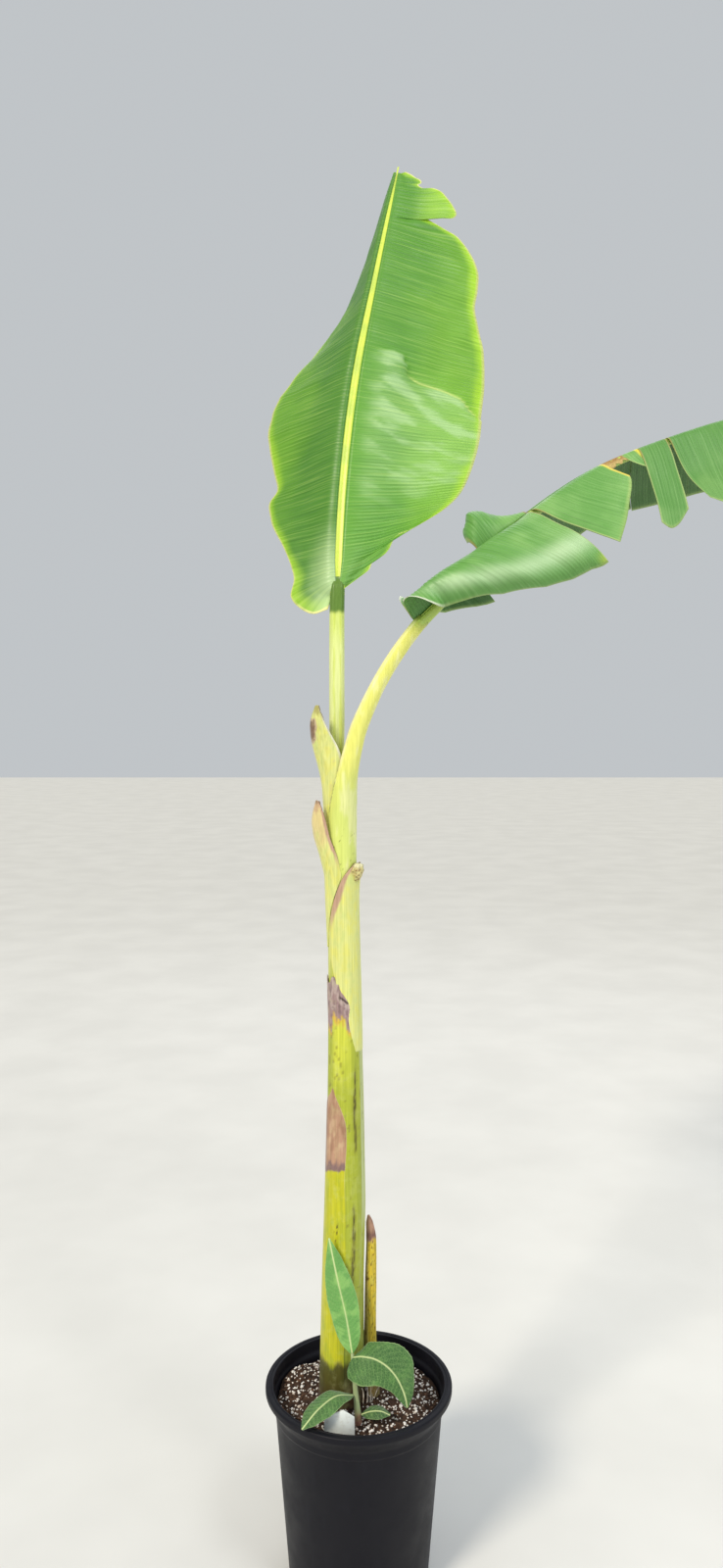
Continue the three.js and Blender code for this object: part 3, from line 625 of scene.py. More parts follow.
line = course(STUB_LINE)
rings = stalk(line, paces(line, 2.5), FRONT, lambda share, angle: (
    0.94 + 0.035 * np.sin(11 * angle + 5 * share) + 0.03 * np.sin(5 * angle - 9 * share)
    + 0.05 * ramp(share, 0.8, 0.95) * np.sin(17 * angle + 30 * share)))
height = rings[..., 2]
cloud = ripple(rings * [1, 1, 0.5], 9)
dots = ripple(rings * [1, 1, 0.45], 3, 2, 4.0)
paint = painted(
    rings, "#e6cc42",
    ("#dccf58", ramp(cloud, -0.1, 0.4) * 0.8),
    ("#a8966a", ramp(rings[..., 0], 20, 14) * 0.8),
    ("#9a8c5a", ramp(height + 20 * cloud, 420, 380)),
    ("#6b4a22", ramp(dots, 0.36, 0.5) * 0.85),
    ("#c39a82", ramp(height + 10 * cloud, 630, 642)),
    ("#84605a", ramp(height + 12 * cloud, 634, 646) * ramp(height, 656, 646) * 0.8))
new_piece("dried_stub_piece", rings, dry_tissue, ["dried_stub"], paint)

# The bleached strands stand on the soil in front of the stub.
share, turn = np.linspace(0, 1, 26)[:, None], np.linspace(-1, 1, 7)
for number, (x, y, lean, tall, half) in enumerate(STRANDS):
    curl = 0.5 + 1.1 * share + 0.3 * number
    width = half * (1 - 0.75 * share ** 2)
    face = np.stack(np.broadcast_arrays(
        x + lean * share ** 1.5 + 1.6 * np.sin(5 * share + number) + width * turn * np.cos(curl),
        y - 4 * share + width * turn * np.sin(curl) - 0.9 * (1 - turn ** 2),
        STRAND_FOOT + tall * share), axis=-1)
    rings = two_faces(face, face + [0, 0.5, 0])
    paint = painted(rings, "#efe9dc", ("#b5a28a", ramp(ripple(rings, 6), 0, 0.4) * 0.6))
    new_piece(f"dried_strand_{number + 1}", rings, dry_tissue, paint=paint, ribbon=True)


# Leaf stalk 2: its base wraps the stem from the front and right, with a thin brown-dotted margin, and
# draws in to a thick stalk with a deep channel on its upper side.
LEAF_2_LINE = [
    [-24, -8, 1480, 19], [-15, -7, 1540, 20], [-2, -5, 1590, 18], [32, 1, 1665, 15.5], [68, 8, 1725, 15],
    [104, 16, 1774, 14.5], [145, 30, 1817, 13], [205, 48, 1880, 12], [315, 82, 1983, 11],
    [434, 120, 2068, 10], [514, 144, 2109, 9.5], [599, 170, 2145, 9], [715, 202, 2187, 8],
    [800, 224, 2209, 7.5], [880, 243, 2214, 7], [955, 258, 2192, 6], [1020, 268, 2145, 5],
    [1066, 272, 2075, 4],
]
LEAF_2_START = 327
# Rows up the clasping base and stalk: x, y, z, outer radius, the way its channel faces in degrees
# from +X, half the channel's width in degrees, and the channel's floor as a share of the radius.
STALK_2_ROWS = np.array([
    [-32, 1, 1290, 28, 120, 70, 0.88], [-33, 1, 1370, 29, 122, 72, 0.88],
    [-33.5, 1.5, 1420, 30, 148, 70, 0.88], [-33, 0.5, 1455, 30, 160, 69, 0.87],
    [-30, -3, 1488, 27.8, 168, 68, 0.85], [-22, -7, 1520, 22.6, 172, 56, 0.7],
    [-13, -7, 1552, 19.4, 176, 44, 0.55], [-2, -5, 1590, 18, 180, 38, 0.48],
    [32, 1, 1665, 15.5, 180, 38, 0.46], [68, 8, 1725, 15, 180, 40, 0.46],
    [104, 16, 1774, 14.5, 180, 46, 0.5], [116, 20, 1787, 14, 180, 50, 0.5],
])
STALK_STEPS = 56

# Living stalk skin: smooth wax that shines more than the sheaths, with faint darker fibres. They lie
# about 1.2 mm apart, drawn at 2.4 mm so that they show.
petiole_skin, *_ = fibrous(
    "waxy leaf stalk", {"Roughness": 0.36, "IOR": 1.42, "Sheen Weight": 0.1, "Sheen Roughness": 0.4},
    (420, 420, 14), {"Detail": 3}, 0.65, 0.22, "#9aa83a", (0.3, 0.0005))

line = course(STALK_2_ROWS[:, :4])
centre, ahead, radius = along_course(line, paces(line, 3))
facing, half, floor = (np.interp(centre[:, 2], STALK_2_ROWS[:, 2], column) for column in STALK_2_ROWS.T[4:])
# Directions across the stalk: to the opening of its channel, and to the side of that.
opening = np.stack([np.cos(np.radians(facing)), np.sin(np.radians(facing)), 0 * facing], axis=1)
upper = unit(opening - ahead * np.sum(opening * ahead, axis=1)[:, None])
side = np.cross(ahead, upper)
share = np.linspace(-1, 1, STALK_STEPS + 1)
turn = np.radians(half)[:, None] + (share + 1) / 2 * np.radians(360 - 2 * half)[:, None]
out = np.cos(turn)[..., None] * upper[:, None] + np.sin(turn)[..., None] * side[:, None]
lip = (1 - share ** 2) ** 0.5
outer = radius[:, None] * (0.94 + 0.06 * np.clip(lip * 2, 0, 1))
inner = radius[:, None] * (0.93 - (0.93 - floor[:, None]) * np.clip(lip * 1.6, 0, 1))
rings = centre[:, None] + two_faces(outer[..., None] * out, inner[..., None] * out)
height, across = rings[..., 2], two_faces(share[None])
cloud = ripple(rings * [1, 1, 0.3], 16)
dots = ripple(rings, 2.4, 2, 6.0)
paint = painted(
    rings, "#e9e878",
    ("#d9e47a", ramp(height - 40 * cloud, 1560, 1440)),
    ("#f0efb0", ramp(cloud, 0, 0.5) * 0.6),
    ("#f3ecc0", ramp(across, -0.8, -0.94) * ramp(height, 1500, 1540) * 0.7),
    ("#7f9a3c", ramp(height, 1752, 1790) * 0.9),
    ("#5a4220", ramp(abs(across), 0.955, 0.985) * ramp(dots, -0.25, 0.1) * ramp(height, 1560, 1500)),
    ("#4b3a17", ramp(dots, 0.62, 0.72) * ramp(height, 1420, 1380) * 0.7))
new_piece("leaf_2_stalk", rings, petiole_skin, ["petiole_2"], paint, True)


# Leaf stalk 1: straight and upright behind the fork, with a narrow channel down its front. Where the
# blade begins it is painted dark green: a painted shadow cast by the blade's base.
LEAF_1_LINE = [
    [-41, 20, 1480, 13], [-40, 20, 1600, 14], [-40, 20, 1720, 14], [-39, 28, 1838, 13.5],
    [-29, 80, 2050, 10.5], [-6, 145, 2260, 8.5], [30, 205, 2460, 6], [79, 275, 2712, 3.5],
]
LEAF_1_START = 358
# How far the stalk runs down inside the sheaths, and on over the foot of its midrib.
STALK_1_FOOT, STALK_1_LAP = 90, 30
# Half the angle that a midrib's flat top spans, in radians.
RIB_FLAT = 1.05

leaf_1_line, leaf_2_line = course(LEAF_1_LINE), course(LEAF_2_LINE)


def rib_section(share, angle):
    """A midrib's section: round below, with a flat top and a shallow groove along it."""
    near = np.clip(angle, -RIB_FLAT, RIB_FLAT)
    flat = (0.5 - 0.16 * np.exp(-(np.tan(near) / 0.7) ** 2)) / np.cos(near)
    return np.where(abs(angle) < RIB_FLAT, np.minimum(flat, 1), 1) + 0 * share


def stalk_1_section(share, angle):
    """Round with a channel along its front, sinking into the flat top of its midrib at the upper end."""
    sunk = ramp(share, 0.94, 1)
    channelled = 1 - 0.16 * np.exp(-(angle / 0.5) ** 4)
    return channelled * (1 - sunk) + 0.97 * rib_section(share, angle) * sunk


distances = np.arange(-STALK_1_FOOT, LEAF_1_START + STALK_1_LAP, 3.0)
rings = stalk(leaf_1_line, np.maximum(distances, 0), FRONT, stalk_1_section)
rings[..., 2] += np.minimum(distances, 0)[:, None]
height = rings[..., 2]
cloud = ripple(rings * [1, 1, 0.2], 14)
paint = painted(
    rings, "#e3eca0",
    ("#d3e070", ramp(np.sin(rings[..., 0] * 0.55 + 1) + cloud, 0.2, 1.0) * 0.8),
    ("#c9dc5a", ramp(height, 1700, 1800) * 0.6),
    # Painted shadow: dark green where the blade's base shades the top of the stalk.
    ("#5f8230", ramp(height + 4 * cloud, 1795, 1804)))
new_piece("leaf_1_stalk", rings, petiole_skin, ["petiole_1"], paint)


# Midribs: each stalk runs on through its blade as a thick rib, flat where the two halves meet on its
# upper face and rounded below, bright yellow-green and satin.
MIDRIB_PACE = 4

# Midrib skin: satin wax with soft deeper clouds, shinier than the blades.
midrib_skin, *_ = clouded("waxy midrib", {"Roughness": 0.34, "IOR": 1.42}, {"Scale": 130, "Detail": 4},
                          (0.45, 0.75, 0.35), ("paint", "#b5cf48"), (0.25, 0.0006))

for name, line, start, end, up, colour, taper in (
    ("leaf_1_rib", leaf_1_line, LEAF_1_START - 6, leaf_1_line[-1, 0], FRONT, "#d2e254", 0.6),
    ("leaf_2_rib", leaf_2_line, LEAF_2_START - 4, 1188, UP, "#a9c25a", 0),
    ("leaf_2_rib_end", leaf_2_line, 1186, leaf_2_line[-1, 0], UP, "#a9c25a", 0.6),
):
    distances = np.linspace(start, end, int((end - start) / MIDRIB_PACE) + 2)
    rings = stalk(line, distances, up, lambda share, angle: (
        rib_section(share, angle) * (1 - taper * ramp(share, 0.9, 1))))
    paint = painted(rings, colour, ("#a7c455", ramp(ripple(rings, 60), -0.2, 0.6) * 0.5))
    new_piece(name, rings, midrib_skin, [name.replace("rib", "midrib")], paint)


# Leaf 1: a lime-green blade that leans back, seen on its waxy upper face. Fine ribs run from the
# midrib to a thin cream margin. Its left half folds back and its tip has curled over at the right.
VEIN_STEPS, BLADE_STEPS = 4000, 30
VEIN_BEND = 1.4
RIB_STEP, RIB_PITCH = 1.9, 7.5
# The midrib's flat top, as a share of its radius.
RIB_TOP = 0.55
# Half a blade's wall at its midrib, and how much thinner it is at its margin.
HALF_WALL, WALL_LOSS = 0.7, 0.3
# Each half, and each piece below: rows of where a rib leaves the midrib, how far along it ends and how
# far out. Then, in degrees, rows along the midrib of how far the blade hangs on its way out.
LEAF_1_HALVES = {
    "leaf_1_right": (1, [
        [4, 9, 5], [9, 30, 29], [15, 47, 47], [19, 58, 51], [24, 74, 62], [27, 77, 72], [33, 90, 82],
        [40, 108, 89], [46, 120, 96], [54, 134, 119], [80, 154, 146], [115, 184, 181], [170, 226, 213],
        [240, 284, 232], [325, 354, 243], [405, 422, 244], [490, 500, 243], [568, 575, 232], [620, 625, 213],
        [660, 664, 200], [700, 705, 199], [742, 752, 192], [776, 788, 168], [788, 808, 140], [795, 818, 104],
        [799, 827, 72], [804, 834, 104], [811, 840, 121], [822, 850, 127], [836, 864, 118], [850, 879, 103],
        [864, 892, 88], [872, 896, 71], [877, 890, 53], [880, 893, 42], [884, 901, 48], [889, 906, 44],
        [894, 907, 34], [898, 910, 26], [902, 912, 12],
    ], [[10, 11, 14]]),
    "leaf_1_left": (-1, [
        [4, -33, 6], [8, -40, 34], [14, -28, 60], [24, -4, 80], [42, 29, 75], [62, 55, 82], [112, 110, 112],
        [165, 163, 150], [210, 210, 169], [240, 236, 154], [283, 282, 171], [326, 325, 184],
        [378, 376, 198], [410, 408, 200], [428, 428, 201], [450, 452, 196], [480, 481, 190],
        [530, 531, 184], [594, 596, 184], [650, 652, 182], [700, 702, 174], [752, 755, 152],
        [805, 808, 120], [850, 853, 84], [880, 885, 46], [902, 910, 12],
    ], [[min(fold, 84 - 2 * row), fold + 1, fold + 4]
        for row, fold in enumerate((18, 28, 38, 41, 38, 43, 55, 68, 79, 84, 84))]),
}
# Where along the midrib, and how far from its middle as a share of its radius, a half begins.
LEAF_1_APART = [(0, 0.2), (60, 0.52), (500, 0.85), (800, 0.8), (905, 0.5)]
# Along this crease, given as way out and root, the lower face of the right half stands proud.
CREASE = [(0, 500), (56, 514), (75, 512), (84, 490), (92, 466), (114, 455), (171, 447), (204, 437),
          (222, 414), (246, 396)]


def hang_at(hang, along, out):
    """The hang, in radians, at shares of the way along a piece of blade and out to its margin."""
    rows = np.array([np.interp(out, np.linspace(0, 1, len(row)), row) for row in hang])
    place = np.clip(along, 0, 1) * (len(rows) - 1)
    first = np.minimum(place.astype(int), max(len(rows) - 2, 0))
    share = (place - first)[:, None]
    return np.radians(rows[first] * (1 - share) + rows[np.minimum(first + 1, len(rows) - 1)] * share)


def blade(line, start, up, half, veins, hang, apart, wave, ribbed, lift=lambda *_: 0):
    """A piece of blade: its rings, and each point's root, way out, distance from the margin, and 1 on
    the underside. apart gives where it leaves the midrib, and lift how far its face stands proud."""
    dense = through(veins, np.linspace(0, 1, VEIN_STEPS))
    walked = np.concatenate([[0], np.cumsum(np.abs(np.diff(dense, axis=0)) @ [1, 0.5, 0.35])])
    wanted = np.linspace(0, walked[-1], int(walked[-1] / RIB_STEP) + 2)
    root, along, out = (np.interp(wanted, walked, column) for column in dense.T)
    centre, ahead, radius = along_course(line, start + root)
    side, upper = frames(ahead, up)
    side = side * half
    share = (root - veins[0][0]) / (veins[-1][0] - veins[0][0])
    steps = np.linspace(0, 1, BLADE_STEPS + 1)
    length = out + radius * 0.5 + 0.7
    reach = steps * length[:, None]
    margin = length[:, None] - reach

    def turned_by(angle):
        return np.cos(angle)[..., None] * side[:, None] + np.sin(angle)[..., None] * upper[:, None]

    def hangs(out_shares):
        """The hang, eased where the blade still lies on the flat top of its midrib."""
        angle = hang_at(hang, share, out_shares)
        ease = ramp(out_shares * length[:, None], 0, radius[:, None] * 2.2)
        return np.where(angle > 0, angle * ease, angle)

    # The two halves nearly meet at the stalk, and further on the midrib shows between them.
    gap = radius * np.interp(root, *zip(*apart))
    top = upper * radius[:, None] * RIB_TOP
    begin = centre + side * gap[:, None] + top
    forward = (along - root)[:, None] * np.diff(steps ** VEIN_BEND)
    walk = (turned_by(-hangs((steps[1:] + steps[:-1]) / 2)) * (length / BLADE_STEPS)[:, None, None]
            + ahead[:, None] * forward[..., None])
    drop = top[:, None] * ramp(steps, 0.1, 0.5)[None, :, None]
    middle = np.concatenate([begin[:, None], begin[:, None] + np.cumsum(walk, axis=1)], axis=1) - drop
    normal = turned_by(math.pi / 2 - hangs(steps))
    # Ribs stand a third of a millimetre proud. Between them the blade swells softly, and towards its
    # margin it waves.
    beat = np.array([noise.noise(Vector((place / 55, start, half))) for place in root])[:, None]
    rib = ribbed * np.sin(2 * math.pi * root[:, None] / RIB_PITCH + 3 * beat) * ramp(reach, 3, 22)
    swell = ripple(middle, 75, 2, start) * wave * ramp(reach, 10, 120)
    middle = middle + normal * (rib * ramp(margin, 0, 9) + swell + lift(root[:, None], reach))[..., None]
    thick = normal * (HALF_WALL - WALL_LOSS * steps)[None, :, None]
    return (two_faces(middle + thick, middle - thick), two_faces(np.repeat(root[:, None], len(steps), 1)),
            two_faces(reach), two_faces(margin), two_faces(np.zeros_like(reach), np.ones_like(reach)))


def blade_piece(name, parts, material, paint, nodes):
    """One piece from a blade's parts, with the attributes that its ribbed finish reads."""
    rings, root, reach = parts[:3]
    piece = new_piece(name, rings, material, nodes, paint, True)
    for label, values in (("root", root), ("reach", reach)):
        piece.data.attributes.new(label, "FLOAT", "POINT").data.foreach_set("value", np.ravel(values))


def leaf_finish(name, values, light, dark, pale):
    """Waxy leaf skin that is streaked along its ribs, from the attributes root and reach in mm."""
    material, shader = new_finish(name, values)
    root, reach = (add_node(material, "Attribute", {}, "Fac", attribute_name=label)
                   for label in ("root", "reach"))
    place = add_node(material, "CombineXYZ", {"X": root, "Y": reach})
    # The finest ribs lie about 1 mm apart, drawn at 3 mm so that they show. Gloss changes over 40 mm.
    drawn = [add_node(material, "Mapping", {"Vector": place, "Scale": scale})
             for scale in ((1 / 3, 1 / 170, 1), (1 / 40, 1 / 90, 1))]
    ribs, bands = (add_node(material, "TexNoise", {"Vector": vector, "Scale": 1, "Detail": detail},
                            noise_dimensions="2D") for vector, detail in zip(drawn, (3, 4)))
    tint = add_node(material, "Attribute", {}, attribute_name="paint")
    low = add_node(material, "MapRange", {"Value": ribs, 1: 0.34, 2: 0.52, 3: dark, 4: 0})
    deep = add_node(material, "Mix", {0: low, 6: tint, 7: linear("#6f9a4c")}, 2,
                    data_type="RGBA", blend_type="MULTIPLY")
    high = add_node(material, "MapRange", {"Value": ribs, 1: 0.56, 2: 0.72, 3: 0, 4: light})
    bright = add_node(material, "Mix", {0: high, 6: deep, 7: linear(pale)}, 2, data_type="RGBA")
    gloss = add_node(material, "MapRange", {"Value": bands, 1: 0.3, 2: 0.7, 3: 0.4, 4: 0.56})
    relief = add_node(material, "Bump", {"Height": ribs, "Strength": 0.2, "Distance": 0.0004})
    wire(shader, {"Base Color": bright, "Roughness": gloss, "Normal": relief})
    return material


def below_crease(root, reach):
    """How far each point lies below the crease, towards the stalk."""
    return np.interp(reach, *zip(*CREASE)) - root


def leaf_1_lift(root, reach):
    """How far the right half's face stands proud: below its crease, and where its tip curls over."""
    terrace = 7 * ramp(below_crease(root, reach), -3, 13) * ramp(reach, 12, 60) * ramp(root, 120, 400)
    return terrace + 9 * ramp(reach, 50, 112) * ramp(root, 800, 804)


# Leaf 1's skin is thin wax over soft green, with ribs as fine lighter lines. Its broad pale sheen is
# painted highlight, laid thickest below the crease in streaks along the ribs.
leaf_1_skin = leaf_finish("waxy lime leaf", {"IOR": 1.45, "Coat Weight": 0.14, "Coat Roughness": 0.34},
                          0.2, 0.22, "#c9e27c")
for name, (half, veins, hang) in LEAF_1_HALVES.items():
    right = half > 0
    parts = blade(leaf_1_line, LEAF_1_START, FRONT, half, veins, hang, LEAF_1_APART, 3.4, 0.35,
                  leaf_1_lift if right else lambda *_: 0)
    rings, root, reach, margin, under = parts
    cloud = ripple(rings, 130)
    coats = [("#7cb622", ramp(reach + 50 * cloud, 60, 190) * (0.9 if right else 0.5)),
             ("#3f7a12", ramp(root + 60 * cloud, 320, 560) * (0.34 if right else 0.1))]
    if right:
        below = below_crease(root, reach)
        streak = ripple(np.stack([root + 0.35 * reach, 0.4 * reach, 0 * root], axis=-1), 34, 3, 7.0)
        # Painted highlight: a pale streaked sheen below the crease.
        painted_sheen = ramp(below, -3, 9) * ramp(root + 40 * cloud, 90, 300) * ramp(reach, 6, 50)
        coats += [("#b4d69c", painted_sheen * (0.17 + 0.45 * ramp(streak, -0.15, 0.5))),
                  # A thin bright line along the crease is a painted highlight.
                  ("#e2ec96", np.exp(-((below - 1) / 3.5) ** 2) * ramp(reach, 84, 110) * 0.6),
                  ("#96c644", ramp(root, 800, 803) * ramp(reach, 30, 90) * 0.8)]
    coats += [("#9fce1c", ramp(margin - 12 * cloud, 26, 3) * (1 if right else 0.75)),
              # A pale painted highlight lies beside the midrib near the stalk, strongest on the left half.
              ("#c4dfa6", ramp(reach, 64, 8) * ramp(root, 150, 20) * (0.1 if right else 0.7)),
              ("#ece99a", ramp(margin, 3.2, 1.4)),
              ("#84ab62", under * ramp(margin, 1.5, 4) * 0.8)]
    # The left half is painted a darker green: painted shade on the half that folds back.
    paint = painted(rings, "#5a9a24" if right else "#48821c", *coats)
    blade_piece(name + "_blade", parts, leaf_1_skin, paint, [name])


# Leaf 2: a deeper green blade that arches to the right with both halves hanging, torn by wind along
# its ribs. Its near half rises into a hood at the base and rolls under at its margin.
LEAF_2_NEAR = [
    ([[4, 7, 58], [22, 12, 94], [48, 36, 125], [95, 118, 172], [150, 190, 203], [220, 254, 213],
      [306, 311, 203]],
     [[-80, -75, -65, -50, -30], [-80, -64, -5, 87, 126], [-73, -22, 45, 81, 142], [-64, 16, 45, 70, 140],
      [-50, 30, 46, 68, 136], [-25, 34, 38, 60, 134], [9, 35, 32, 58, 90]]),
    ([[314, 362, 173], [360, 415, 140], [400, 453, 110], [440, 486, 82], [470, 504, 62], [484, 509, 52]],
     [[26, 47, 43, 51, 59], [20, 38, 49, 54, 59]]),
    ([[532, 535, 10], [541, 546, 26], [551, 560, 42], [560, 574, 52], [568, 580, 40]], [[52, 66]]),
    ([[568, 513, 161], [590, 524, 180], [610, 544, 180], [632, 584, 158]], [[54, 66, 58, 60]]),
    ([[638, 632, 158], [704, 668, 179], [770, 746, 186], [820, 814, 182], [856, 864, 172]],
     [[77, 71, 48, 41], [60, 66, 55, 54], [45, 57, 60, 66], [45, 57, 60, 66]]),
    ([[864, 878, 168], [920, 930, 158], [980, 990, 138], [1010, 1022, 120]],
     [[44, 56, 59, 65], [20, 54, 58, 64]]),
    ([[1018, 1032, 116], [1060, 1068, 98], [1110, 1118, 72], [1150, 1158, 42], [1176, 1186, 12]],
     [[20, 54, 58, 64], [10, 38, 42, 46]]),
]
LEAF_2_FAR = [
    ([[6, 21, 48], [50, 66, 98], [95, 102, 113], [140, 156, 150], [182, 180, 148]],
     [[-74, -69, -64, -60, -60], [-80, -50, 65, 86, 85], [-66, -5, 77, 86, 85], [-50, 20, 72, 82, 85]]),
    ([[188, 194, 50], [195, 212, 98], [208, 240, 158], [226, 276, 236], [250, 316, 262], [310, 380, 196]],
     [[-89, -86, -70, -40, 0, 30], [-88, -80, -6, 78, 88, 88], [-80, -42, 50, 84, 86, 86],
      [-60, 15, 70, 82, 82, 82], [-30, 50, 75, 80, 90, 115]]),
    ([[314, 362, 170], [400, 430, 160], [480, 500, 152], [574, 596, 150]], [[35, 40, 45, 55]]),
    ([[574, 596, 152], [650, 668, 160], [723, 734, 164]], [[36, 42, 46, 56]]),
    ([[723, 734, 164], [800, 804, 162], [856, 862, 156]], [[36, 42, 46, 56], [36, 44, 50, 58]]),
    ([[864, 868, 152], [920, 926, 144], [980, 988, 128], [1010, 1020, 112]],
     [[36, 48, 52, 58], [20, 48, 52, 58]]),
    ([[1018, 1030, 108], [1060, 1068, 90], [1110, 1118, 64], [1150, 1158, 38], [1176, 1186, 12]],
     [[20, 48, 52, 58], [10, 44, 48, 52]]),
]
LEAF_2_APART = [(0, 0.2), (70, 0.5)]
DRIED_EDGE = [[487, 492, 12], [498, 503, 16], [508, 512, 9], [518, 521, 14], [526, 529, 7], [532, 535, 12]]

# Leaf 2's skin is bluer and duller. A pale highlight is painted along the roll of its near half.
leaf_2_skin = leaf_finish("waxy mid-green leaf", {"IOR": 1.45, "Coat Weight": 0.08, "Coat Roughness": 0.42},
                          0.15, 0.18, "#a9cc8c")


def leaf_2_part(half, veins, hang):
    """A torn piece of leaf 2, on the near side or, with a half of -1, on the far side."""
    return blade(leaf_2_line, LEAF_2_START, UP, half, veins, hang, LEAF_2_APART, 2.2, 0.3)


for word, half, torn in (("near", 1, LEAF_2_NEAR), ("far", -1, LEAF_2_FAR)):
    for number, (veins, hang) in enumerate(torn, 1):
        name = f"leaf_2_{word}_{number}"
        parts = leaf_2_part(half, veins, hang)
        rings, root, reach, margin, under = parts
        cloud = ripple(rings, 110)
        first, last = root.min(), root.max()
        torn_edge = ramp(np.minimum(root - first, last - root), 3.4, 1.2) * (1 - 0.85 * under)
        # The underside is painted dark green, less so near the stalk: painted shade under the hanging halves.
        coats = [("#7cad5c", ramp(cloud, -0.1, 0.5) * 0.8),
                 ("#3f7030", ramp(root, 540, 580) * 0.34),
                 ("#3a652a", under * (0.85 - 0.6 * ramp(root, 90, 40)))]
        if name == "leaf_2_near_1":
            # A pale painted highlight runs along the roll, on the upper face only.
            fold = np.exp(-((reach / (reach + margin) - 0.71) / 0.11) ** 2)
            coats += [("#c2dcb2", fold * ramp(root, 10, 90) * (0.62 + 0.2 * cloud) * (1 - under)),
                      ("#b4c84e", ramp(root, 270, 306) * ramp(margin, 30, 5) * 0.7)]
        coats += [("#a8c070", ramp(margin, 7, 1.5) * 0.7),
                  ("#e6ead6", ramp(margin, 9, 4) * ramp(root, 64, 30) * 0.9),
                  # Torn edges are painted pale, partly dried tissue and partly painted highlight, and brown
                  # near the midrib.
                  ("#b3bf78", torn_edge * 0.55),
                  ("#8f7434", torn_edge * ramp(reach, 60, 15) * 0.7)]
        if name == "leaf_2_near_2":
            coats += [("#e2cf58", ramp(root + 3 * cloud, last - 8, last - 3))]
        if name == "leaf_2_near_3":
            coats += [("#d8cf45", ramp(root + 4 * cloud, last - 12, last - 6)),
                      ("#7a5a2c", ramp(root, last - 2.5, last - 1))]
        paint = painted(rings, "#5f9843", *coats)
        blade_piece(name + "_blade", parts, leaf_2_skin, paint, [name])

# Where a strip has torn off the near half, a narrow dried brown edge is left on the midrib.
parts = leaf_2_part(1, DRIED_EDGE, [[40, 60, 80]])
paint = painted(parts[0], "#a8804a", ("#c8b070", ramp(parts[2], 2, 12)))
blade_piece("leaf_2_dried_edge", parts, dry_tissue, paint, [])


# Side shoot: a small soft-leaved plant at the stem's foot, on a hairy stalk that is reddish at the
# soil. Its leaves are matt, net-veined and finely toothed, with a pale midrib.
SHOOT_STALK = [[-1, -84, 332, 7.5], [-1, -84, 345, 6.6], [-4, -82, 380, 5], [-8, -74, 420, 4],
               [-12, -60, 454, 3]]
# Each leaf: points of its midrib, half widths of its two sides along it, the way across, droop, colours.
# The greens are painted: lighter on the upright leaf as painted light, darker on the broad, left and low
# leaves as painted shade.
SHOOT_LEAVES = {
    "shoot_leaf_upright": (
        [[-12, -59, 453.2], [-23, -55, 520], [-39, -52, 590], [-54, -50, 664]],
        [2.4, 14, 21, 24, 26, 27, 28, 28, 26, 24, 21, 17, 12, 7, 1.5],
        [2.4, 14, 20, 22, 24, 26, 27, 27, 26, 24, 21, 17, 13, 7, 1.5], [1, 0, 0], 14, ("#5f9c48", "#8fc265")),
    "shoot_leaf_broad": (
        [[-10, -66, 450], [8, -76, 457], [30, -82, 456], [52, -85, 443], [72, -91, 420], [83, -97, 394],
         [86, -99, 377]],
        [2, 20, 28, 30, 36, 44, 44, 31, 20, 11, 2], [34, 42, 46, 47, 45, 37, 29, 21, 14, 8, 2],
        [-0.7, -0.5, -0.45], 6, ("#2e5d1e", "#4a7a31")),
    "shoot_leaf_left": (
        [[-10, -84, 390], [-40, -104, 401], [-70, -130, 394], [-98, -160, 377]],
        [2.4, 14, 20, 23, 24, 22, 16, 2], [2.4, 14, 20, 23, 24, 22, 16, 2], [-0.7, 0.7, 0.1], 12,
        ("#345f26", "#507f39")),
    "shoot_leaf_low": (
        [[5, -86, 356], [22, -90, 364], [40, -93, 366], [56, -95, 360]],
        [2, 12, 15, 15, 11, 2], [2, 12, 15, 15, 11, 2], [0, -1, -0.25], 16, ("#2e5424", "#487036")),
}
# How far a leaf's face lies above its midrib's points.
SHOOT_LIFT = 2.1
LOBE, LOBE_DROOP = 14, 38
TOOTH_PITCH, SIDE_VEIN_PITCH = 6, 9
SMALL_STEPS, SMALL_SIDES = 90, 36

# Soft leaf: matt green felt of short hairs, with paler sunken veins. The net of veins is about 3 mm
# across, drawn at 4.5 mm so that it shows.
soft_leaf, shader = new_finish(
    "downy leaf", {"Roughness": 0.62, "Sheen Weight": 0.25, "Sheen Roughness": 0.5})
place = add_node(soft_leaf, "TexCoord", {}, "Object")
tint = add_node(soft_leaf, "Attribute", {}, attribute_name="paint")
cells = add_node(soft_leaf, "TexVoronoi", {"Vector": place, "Scale": 1000 / 4.5}, feature="DISTANCE_TO_EDGE")
net = add_node(soft_leaf, "MapRange", {"Value": cells, 1: 0, 2: 0.12, 3: 0.22, 4: 0})
green = add_node(soft_leaf, "Mix", {0: net, 6: tint, 7: linear("#9cba72")}, 2, data_type="RGBA")
relief = add_node(soft_leaf, "Bump", {"Height": cells, "Strength": 0.5, "Distance": 0.0008})
wire(shader, {"Base Color": green, "Normal": relief})

line = course(SHOOT_STALK)
rings = stalk(line, paces(line, 2), FRONT, lambda share, angle: 1 + 0.05 * np.sin(5 * angle + 6 * share))
paint = painted(rings, "#9aa878", ("#8a4a44", ramp(rings[..., 2] + 8 * ripple(rings, 8), 372, 342) * 0.9))
new_piece("shoot_stalk_piece", rings, soft_leaf, ["shoot_stalk"], paint)

